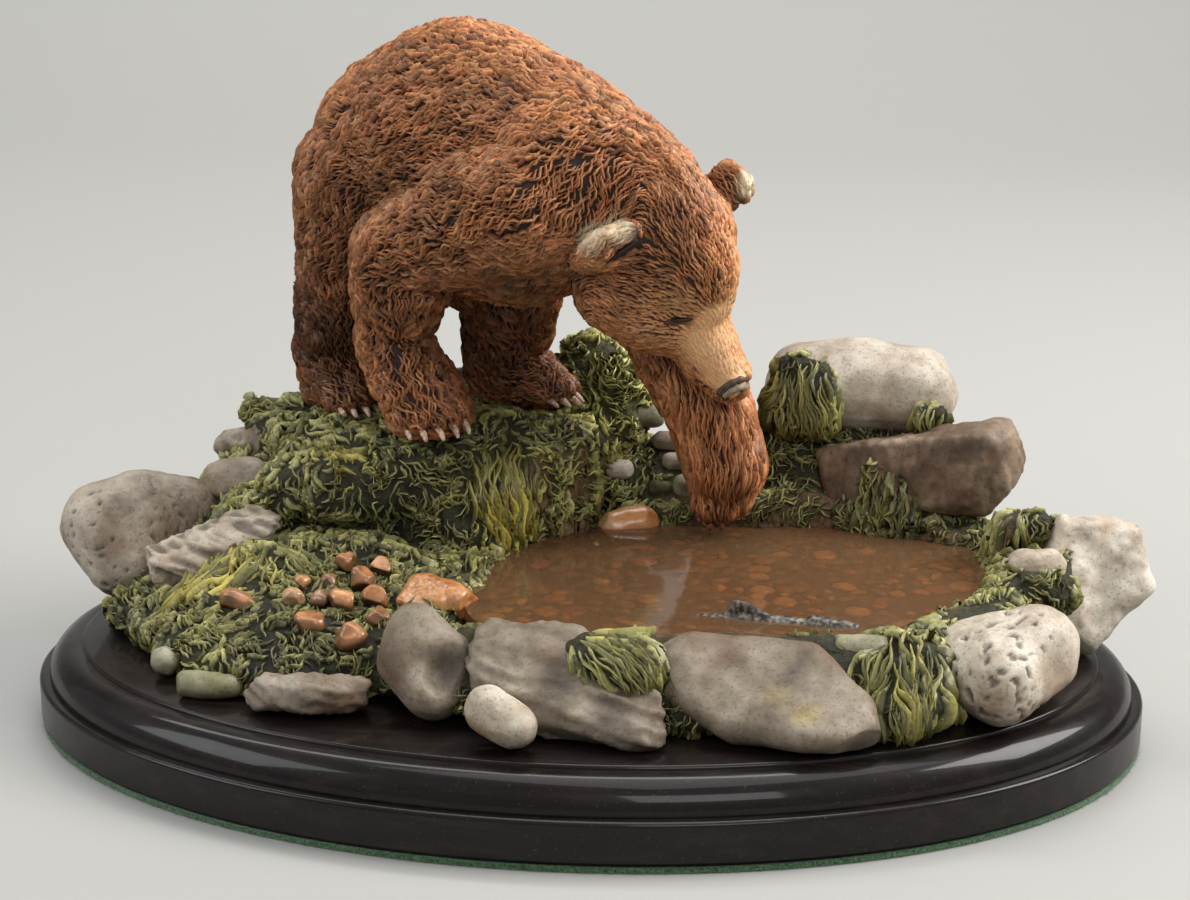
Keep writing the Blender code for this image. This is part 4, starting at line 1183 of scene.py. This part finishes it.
def flat_pebble(bm, centre, half_sizes, turn, seed, colours, colour):
    """A worn pebble, added to a mesh, with its colour kept for each point."""
    place = Matrix.Translation(centre) @ Matrix.Rotation(turn, 4, "Z") @ Matrix.Diagonal((*half_sizes, 1.0))
    made = bmesh.ops.create_icosphere(bm, subdivisions=2, radius=1.0, matrix=place)
    size = max(half_sizes)
    for corner in made["verts"]:
        away = (corner.co - centre).normalized()
        corner.co += away * noise.noise(corner.co / (size * 0.9) + Vector((seed, 0, 0))) * size * 0.30
        colours.append(colour)


def pebble_material(name, coat):
    """Glossy varnished pebbles with warm mottling."""
    made, tree, shader = new_material(name, (0.5, 0.3, 0.15), 0.3, coat=coat, coat_roughness=0.06)
    mottle = noise_node(tree, 350.0, 4.0)
    ramp = ramp_node(tree, mottle.outputs["Fac"], [(0.32, (0.55, 0.5, 0.45)), (0.6, (1, 1, 1))])
    colour = mix_node(tree, painted_colour(tree), ramp.outputs["Color"], 1.0, "MULTIPLY")
    tree.links.new(colour, shader.inputs["Base Color"])
    bump_node(tree, shader, mottle.outputs["Fac"], 0.15, 0.0004)
    return made


def pebble_balls(x, y, z, radius, reach):
    """The two balls of a pebble."""
    return [(x, y, z, radius), (x + reach, y - 1, z, radius * 0.8)]


def make_pebbles():
    """The cluster of varnished pebbles left of the pool."""
    source = random.Random(8)
    tones = [paint(196, 140, 90), paint(172, 118, 74), paint(208, 166, 120), paint(156, 110, 76)]
    varnish = pebble_material("orange_pebble_varnish", 0.45)
    pieces = []
    for index, row in enumerate(PEBBLES):
        balls = pebble_balls(*row)
        stone = fused("orange_pebble_%02d" % (index + 1), [balls], PEBBLE_VOXEL, 3, varnish)
        spots = cut_flats(points_of(stone.data), "pebble", np.random.default_rng(index + 300))
        moved = spots + normals_of(stone.data) * (0.00030 * noise_at(spots, 0.004, index + 70))[:, None]
        set_points(stone.data, moved)
        # Painted shade: darker on the sides and undersides, lighter on top, with uneven tone.
        shade_and_mottle = np.clip(normals_of(stone.data)[:, 2] * 0.9 + 0.45, 0.15, 1.0)[:, None]
        shade_and_mottle = shade_and_mottle * (1 + 0.35 * noise_at(moved, 0.0035, index + 90))[:, None]
        set_colours(stone.data, np.array(source.choice(tones)) * shade_and_mottle)
        pieces.append(stone)
    return pieces


def smooth_outline(per_span, grow=0.0):
    """The water's outline as a smooth closed line, pushed out by a distance in metres."""
    corners = np.array(POOL_OUTLINE, dtype=float) * MM
    count = len(corners)
    line = []
    for index in range(count):
        before, here, after, beyond = (corners[(index + step) % count] for step in (-1, 0, 1, 2))
        for step in range(per_span):
            t = step / per_span
            line.append(0.5 * (2 * here + (after - before) * t
                               + (2 * before - 5 * here + 4 * after - beyond) * t ** 2
                               + (3 * here - before - 3 * after + beyond) * t ** 3))
    line = np.array(line)
    along = np.roll(line, -1, axis=0) - np.roll(line, 1, axis=0)
    along = along / np.linalg.norm(along, axis=1, keepdims=True)
    outward = np.stack([-along[:, 1], along[:, 0]], axis=1)
    return line + outward * grow


def depth_inside(flat, line):
    """How far inside the outline each point lies; negative outside."""
    gaps = np.sqrt(((flat[:, None, :] - line[None, :, :]) ** 2).sum(axis=2)).min(axis=1)
    inside = np.zeros(len(flat), dtype=bool)
    following = np.roll(line, -1, axis=0)
    for (x0, y0), (x1, y1) in zip(line, following):
        if y0 == y1:
            continue
        crosses = (flat[:, 1] > y0) != (flat[:, 1] > y1)
        reach = x0 + (flat[:, 1] - y0) / (y1 - y0) * (x1 - x0)
        inside ^= crosses & (flat[:, 0] < reach)
    return np.where(inside, gaps, -gaps)


def make_ground():
    """The ground under the moss, with the shore sloping into the pool."""
    earth = painted_material("ground_paint", 0.8, grain=620.0, spread=0.75, relief=1.0, depth=0.0009)
    ground = fused("ground", list(GROUND.values()), GROUND_VOXEL, 3, earth)
    thinned(ground, GROUND_KEPT)
    spots = points_of(ground.data)
    normals = normals_of(ground.data)
    lumpy = 0.0010 * noise_at(spots, 0.007, 4) + 0.0005 * noise_at(spots, 0.0032, 5)
    spots = spots + normals * lumpy[:, None]
    depth = depth_inside(spots[:, :2], smooth_outline(4)) + 0.0008 * noise_at(spots, 0.006, 6)
    shore = WATER_LEVEL + 0.0010 - np.clip(depth * 1.3, 0, WATER_LEVEL - POOL_FLOOR + 0.0008)
    upper = spots[:, 2] > 0.030
    spots[:, 2] = np.where((depth > 0) & upper, np.minimum(spots[:, 2], shore), spots[:, 2])
    spots[:, 2] = np.maximum(spots[:, 2], GROUND_BOTTOM)
    set_points(ground.data, spots)
    wet = np.clip((depth + 0.0035) / 0.003, 0, 1)[:, None]
    lumps = np.clip(0.8 + 0.5 * noise_at(spots, 0.003, 8), 0.3, 1.4)[:, None]
    # Painted light and shade by place on the moss-coloured ground.
    mossy = np.array(paint(58, 57, 27)) * lumps * painted_light_and_shade(spots, MOSS_LIGHT_AND_SHADE)[:, None]
    muddy = np.array(paint(142, 110, 74)) * (0.7 + 0.3 * lumps)
    set_colours(ground.data, mossy * (1 - wet) + muddy * wet)
    return ground


def moss_colours(points, seed, open_air):
    """Olive moss with dark hollows, pale crests and yellow patches."""
    count, rows, columns, _ = points.shape
    roots = points[:, 0, 1]
    yellow = np.clip(patches(roots, YELLOW_MOSS) * 1.3 + 0.28 * noise_at(roots, 0.012, seed), 0, 1)
    source = np.random.default_rng(seed)
    tint = 0.72 + 0.5 * source.random(count) + 0.22 * noise_at(roots, 0.02, seed + 1)
    # Painted shade where the moss is hemmed in, and painted light and shade by place.
    tint = tint * (0.62 + 0.20 * open_air) * painted_light_and_shade(roots, MOSS_LIGHT_AND_SHADE)
    tone = np.full((count, rows, columns), 0.04)
    tone[:, :, 1] = 0.48 + 0.55 * source.random(count)[:, None]
    crest = MOSS_CREST * (1 - yellow)[:, None] + MOSS_YELLOW * yellow[:, None]
    low = np.clip(tone * 2, 0, 1)[..., None]
    high = np.clip(tone * 2 - 1, 0, 1)[..., None]
    colour = MOSS_GROOVE * (1 - low) + MOSS_MIDDLE * low
    colour = colour * (1 - high) + crest[:, None, None, :] * high
    return colour * tint[:, None, None, None]


def in_balls(places, groups, margin):
    """Which places lie inside any of the balls, shrunk by a margin in metres."""
    hit = np.zeros(len(places), dtype=bool)
    for balls in groups:
        for x, y, z, radius in balls:
            gap = np.linalg.norm(places - np.array((x, y, z)) * MM, axis=1)
            hit |= gap < radius * MM - margin
    return hit


def make_moss(skin, shelter):
    """Curly strands over the mounds, and long combed strands on the hanging tufts."""
    moss = painted_material("moss_paint", 0.48, grain=1200.0, coat=0.22, spread=0.3)
    line = smooth_outline(4)
    stones = [balls for balls, _, _ in STONES.values()] + [pebble_balls(*row) for row in PEBBLES]
    stack = [balls for name, (balls, _, _) in STONES.items() if name.startswith(("stack", "bush", "bank"))]
    feet = [BEAR[name] for name in ("right hind foot", "right fore paw", "left hind foot")]

    def growing(places, facing):
        depth = depth_inside(places[:, :2], line)
        dry = (depth < 0.0005) | (places[:, 2] > 0.046)
        above = (places[:, 2] > 0.0245) & (facing[:, 2] > -0.55)
        bare = in_balls(places, stones, 0.0005) | in_balls(places, feet, -0.0006)
        bare |= in_balls(places, stack, -0.0012)
        rim = (places[:, 1] < RIM_FRONT) & (places[:, 2] > RIM_HEIGHT)
        rim &= np.abs(places[:, 0] - RIM_MIDDLE) < RIM_HALF_LENGTH
        bare |= rim & ~in_tuft(places)
        return dry & above & ~bare & (near(places, *BARE_SHORE) < 0.05)

    def in_tuft(places):
        hit = np.zeros(len(places), dtype=bool)
        for centre, reach in HANGING_TUFTS:
            hit |= near(places, centre, reach) > 0.02
        return hit

    places, facing = skin.scatter(MOSS_SPACING, 21, lambda at, way: growing(at, way) & ~in_tuft(at))
    source = np.random.default_rng(22)
    count = len(places)

    def swirl(spots):
        ways = np.stack([noise_at(spots, 0.0075, seed) for seed in (31, 32, 33)], axis=1)
        return unit(ways + np.array([0.0, 0.0, -0.35]))

    length, width, height, sway = (varied(source, count, limits)
                                   for limits in (MOSS_LENGTH, MOSS_WIDTH, MOSS_HEIGHT, MOSS_SWAY))
    phase = source.random(count)
    points = lay_strands(skin, places, facing, swirl, length, width, height, sway, phase, 5, 0.5)
    colours = moss_colours(points, 23, openness(shelter, places, facing, 0.03, 10))
    pieces = strand_objects(("moss_left", "moss_middle", "moss_right"), places, points, colours, moss)

    places, facing = skin.scatter(TUFT_SPACING, 41, lambda at, way: growing(at, way) & in_tuft(at))
    count = len(places)

    def down(spots):
        aside = noise_at(spots, 0.012, 35) * 0.3 + 0.9 * near(spots, FRONT_TUFT, 20)
        lean = np.stack([aside, noise_at(spots, 0.012, 36) * 0.3, np.full(len(spots), -1.0)], axis=1)
        return unit(lean)

    length, width, height = (varied(source, count, limits)
                             for limits in (TUFT_LENGTH, TUFT_WIDTH, TUFT_HEIGHT))
    phase = noise_at(places, 0.012, 37) + 0.1 * source.random(count)
    sway = np.full(count, TUFT_SWAY)
    points = lay_strands(skin, places, facing, down, length, width, height, sway, phase, 7, 0.6)
    colours = moss_colours(points, 43, openness(shelter, places, facing, 0.03, 10))
    return pieces + strand_objects(("moss_hanging",), places, points, colours, moss)


def make_pool_bed():
    """Flat pebbles on the pool's floor."""
    source = random.Random(4)
    line = smooth_outline(4)
    bm = bmesh.new()
    colours = []
    warm = [paint(200, 136, 80), paint(168, 110, 64), paint(148, 102, 66), paint(216, 166, 112)]
    dull = [paint(132, 102, 72), paint(112, 86, 60), paint(148, 116, 82)]
    placed = []
    for _ in range(BED_TRIES):
        x, y = source.uniform(-30, 112), source.uniform(-50, 46)
        size = source.uniform(1.4, 4.6)
        if depth_inside(np.array([[x * MM, y * MM]]), line)[0] < 0.0015:
            continue
        if noise.noise(Vector((x, y, 3)) / 15) < -0.30:
            continue
        if any(math.hypot(x - px, y - py) < (size + other) * 0.72 for px, py, other in placed):
            continue
        placed.append((x, y, size))
        bright = source.random() < 0.8 - 0.011 * max(0, y + 12) - (0.25 if x < 12 else 0.0)
        tones = warm if bright else dull
        sizes = (size * MM, size * source.uniform(0.5, 0.95) * MM, source.uniform(0.9, 1.5) * MM)
        centre = Vector((x, y, 35.6 + source.uniform(0, 0.8))) * MM
        flat_pebble(bm, centre, sizes, source.uniform(0, 3), len(placed), colours, source.choice(tones))
    thing = mesh_object("pool_bed_pebbles", bm, pebble_material("pool_pebble_paint", 0.1))
    set_colours(thing.data, np.array(colours))
    return thing


def make_water():
    """The clear tinted pour, see-through to the bed."""
    made, tree, shader = new_material("clear_pool_resin", paint(176, 134, 96), 0.09)
    shader.inputs["Transmission Weight"].default_value = 0.78
    shader.inputs["IOR"].default_value = 1.33
    ripple = noise_node(tree, 75.0, 2.0)
    bump_node(tree, shader, ripple.outputs["Fac"], 0.12, 0.002)
    line = smooth_outline(8, WATER_OVERLAP)
    bm = bmesh.new()
    floor = bm.faces.new([bm.verts.new((x, y, POOL_FLOOR - 0.001)) for x, y in line])
    grown = bmesh.ops.extrude_face_region(bm, geom=[floor])
    lifted = [item for item in grown["geom"] if isinstance(item, bmesh.types.BMVert)]
    bmesh.ops.translate(bm, verts=lifted, vec=(0, 0, WATER_LEVEL - POOL_FLOOR + 0.001))
    return mesh_object("pool_resin", bm, made, smooth=False)


def make_fish():
    """The salmon with its speckled back and its dorsal fin out of the water."""
    stops = [(0.40, paint(34, 32, 30)), (0.5, paint(78, 72, 64)), (0.7, paint(140, 130, 112))]
    scales = mottled_material("fish_paint", stops, 900.0, 2.0, 0.4, 0.3, 0.12)
    return fused("salmon", FISH_BODY, FISH_VOXEL, 2, scales)


def oval_ring(bm, inset, height, steps):
    """One ring of points around the oval, set in from its edge."""
    half_length = PLINTH_LENGTH / 2 - inset
    half_depth = PLINTH_DEPTH / 2 - inset
    ring = []
    for step in range(steps):
        turn = 2 * math.pi * step / steps
        ring.append(bm.verts.new((half_length * math.cos(turn), half_depth * math.sin(turn), height)))
    return ring


def oval_solid(name, profile, material, steps=220):
    """An oval solid through rings of inset and height, bottom to top."""
    bm = bmesh.new()
    rings = [oval_ring(bm, inset, height, steps) for inset, height in profile]
    close_rings(bm, rings)
    thing = mesh_object(name, bm, material)
    thing.data.set_sharp_from_angle(angle=math.radians(32))
    return thing


def wood_material():
    """Very dark lacquered mahogany with a faint grain and dust in its pores."""
    made, tree, shader = new_material("dark_mahogany", paint(26, 19, 17), 0.3, coat=0.35, coat_roughness=0.07)
    shader.inputs["Specular IOR Level"].default_value = 0.12
    place = tree.nodes.new("ShaderNodeTexCoord")
    stretch = tree.nodes.new("ShaderNodeMapping")
    stretch.inputs["Scale"].default_value = (14.0, 260.0, 260.0)
    tree.links.new(place.outputs["Object"], stretch.inputs["Vector"])
    grain = tree.nodes.new("ShaderNodeTexNoise")
    grain.inputs["Scale"].default_value = 1.0
    grain.inputs["Detail"].default_value = 6.0
    grain.inputs["Roughness"].default_value = 0.7
    tree.links.new(stretch.outputs["Vector"], grain.inputs["Vector"])
    ramp = ramp_node(tree, grain.outputs["Fac"],
                     [(0.35, paint(12, 9, 8)), (0.55, paint(22, 16, 14)), (0.75, paint(40, 28, 23))])
    dust = noise_node(tree, 1600.0, 1.0)
    flecks = ramp_node(tree, dust.outputs["Fac"], [(0.70, (0, 0, 0)), (0.74, (0.35, 0.35, 0.35))])
    colour = mix_node(tree, ramp.outputs["Color"], paint(96, 74, 60), flecks.outputs["Color"])
    tree.links.new(colour, shader.inputs["Base Color"])
    rough = ramp_node(tree, noise_node(tree, 60.0, 5.0).outputs["Fac"],
                      [(0.3, (0.26,) * 3), (0.7, (0.42,) * 3)])
    tree.links.new(rough.outputs["Color"], shader.inputs["Roughness"])
    bump_node(tree, shader, grain.outputs["Fac"], 0.08, 0.0003)
    return made


def make_plinth():
    """The oval plinth: straight band, bead and ogee up to the flat top."""
    rise = PLINTH_TOP - RIM_TOP
    profile = [(0.0010, FELT_TOP + GAP), (0.0, FELT_TOP + GAP + 0.0012), (0.0, RIM_TOP - 0.0012)]

    def quarter(inset, height, width, tall, steps):
        """A quarter round, added from an inset and a height inward and upward."""
        for step in range(steps + 1):
            turn = math.pi / 2 * step / steps
            profile.append((inset + width * (1 - math.cos(turn)), height + tall * math.sin(turn)))

    quarter(0.0, RIM_TOP - RIM_ROUND, RIM_ROUND, RIM_ROUND, 3)
    profile.append((0.0024, RIM_TOP))
    quarter(BEAD_INSET, RIM_TOP, BEAD_WIDTH, rise * 0.9, 12)
    profile.append((MOULDING_WIDTH - TOP_ROUND, RIM_TOP + rise * 0.9))
    quarter(MOULDING_WIDTH - TOP_ROUND, RIM_TOP + rise * 0.9, TOP_ROUND, rise * 0.1, 3)
    return oval_solid("wood_plinth", profile, wood_material())


def make_felt():
    """The green baize, its fibres showing all round the foot of the plinth."""
    made = mottled_material("green_baize", [(0.35, paint(22, 48, 26)), (0.7, paint(78, 124, 74))],
                            1500.0, 4.0, 0.95, 0.8, depth=0.0005)
    made.node_tree.nodes["Principled BSDF"].inputs["Sheen Weight"].default_value = 0.4
    pad = oval_solid("baize_pad", [(0.0008, 0.0), (0.0003, 0.0005), (0.0005, FELT_TOP)], made, 160)
    source = random.Random(3)
    bm = bmesh.new()
    for _ in range(FIBRES):
        turn = source.uniform(0, 2 * math.pi)
        spot = Vector((math.cos(turn) * (PLINTH_LENGTH / 2 - FUZZ_INSET),
                       math.sin(turn) * (PLINTH_DEPTH / 2 - FUZZ_INSET), source.uniform(0.0002, 0.0016)))
        out = Vector((math.cos(turn), math.sin(turn) * 1.5, 0)).normalized()
        tip = spot + out * source.uniform(0.0004, 0.0011)
        tip += Vector((source.uniform(-1, 1), source.uniform(-1, 1), source.uniform(-0.6, 0.8))) * 0.0006
        tip.z = max(tip.z, 0.0001)
        across = out.cross(Vector((0, 0, 1))) * 0.00012
        bm.faces.new([bm.verts.new(spot + across), bm.verts.new(spot - across), bm.verts.new(tip)])
    fuzz = mesh_object("baize_fuzz", bm, made)
    return [pad, fuzz]


def make_stage():
    """A pale floor that sweeps up behind the work."""
    made, _, _ = new_material("studio_paper", paint(168, 167, 163), 0.7)
    bm = bmesh.new()
    profile = [(-1.6, 0.0)]
    for step in range(13):
        turn = math.pi / 2 * step / 12
        profile.append((0.9 + 0.8 * math.sin(turn), 0.8 * (1 - math.cos(turn))))
    profile.append((1.7, 3.0))
    rows = [[bm.verts.new((side, y, z)) for side in (-3.5, 3.5)] for y, z in profile]
    for lower, upper in zip(rows, rows[1:]):
        bm.faces.new((lower[0], lower[1], upper[1], upper[0]))
    return mesh_object("studio_floor", bm, made)


def add_light(name, place, target, size, power, colour=(1.0, 1.0, 1.0)):
    """A soft light aimed at a point."""
    lamp = bpy.data.lights.new(name, "AREA")
    lamp.shape = "RECTANGLE"
    lamp.size, lamp.size_y = size
    lamp.energy = power
    lamp.color = colour
    made = link(bpy.data.objects.new(name, lamp))
    made.location = place
    made.rotation_euler = (Vector(target) - Vector(place)).to_track_quat("-Z", "Y").to_euler()
    return made


def make_camera_and_lights():
    """The photograph's viewpoint and plain soft studio light."""
    lens = bpy.data.cameras.new("camera")
    lens.sensor_width = SENSOR_WIDTH
    lens.lens = CAMERA_LENS
    lens.clip_start = 0.01
    camera = link(bpy.data.objects.new("camera", lens))
    camera.location = CAMERA_PLACE
    camera.rotation_euler = (Vector(CAMERA_AIM) - Vector(CAMERA_PLACE)).to_track_quat("-Z", "Y").to_euler()
    bpy.context.scene.camera = camera
    middle = (0.0, 0.0, 0.06)
    add_light("right_softbox", (0.90, 0.08, 0.75), middle, (0.6, 0.6), 14.0, (1.0, 0.985, 0.96))
    add_light("front_softbox", (0.35, -1.05, 0.85), middle, (0.5, 0.5), 3.4)
    add_light("left_softbox", (-0.85, -0.35, 0.65), middle, (0.6, 0.6), 4.4, (0.97, 0.985, 1.0))
    add_light("top_softbox", (0.1, 0.1, 1.1), middle, (0.8, 0.8), 4.4)
    add_light("backdrop_softbox", (-0.4, 0.75, 1.5), (-0.3, 1.7, 0.35), (1.6, 0.6), 20.0)
    world = bpy.data.worlds.new("studio")
    bpy.context.scene.world = world
    world.use_nodes = True
    world.node_tree.nodes["Background"].inputs["Color"].default_value = (0.82, 0.83, 0.85, 1.0)
    world.node_tree.nodes["Background"].inputs["Strength"].default_value = 0.40
    bpy.context.scene.view_settings.view_transform = "Standard"


def place(pieces, node, slot):
    """Ride and replace a solid."""
    for piece in pieces:
        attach(piece, "root")
        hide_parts(node)


def main():
    """Build every piece on the frame."""
    make_camera_and_lights()
    body = make_skin()
    skin = Skin([body])
    paint_skin(body, skin)
    coat = make_coat(skin)
    bear = [body] + make_claws() + coat + make_face(skin)
    place(bear, "bear", "bear_coat")
    ground = make_ground()
    stones = make_stones()
    pebbles = make_pebbles()
    moss = make_moss(Skin([ground]), Skin([ground, body] + stones))
    place([ground, make_pool_bed()] + pebbles + moss + stones, "rock_pool", "ground")
    place([make_water()], "pool_water", "clear_resin")
    place([make_fish()], "fish", "fish_skin")
    place([make_plinth()], "plinth", "dark_wood")
    place(make_felt(), "felt_pad", "baize")
    make_stage()


main()
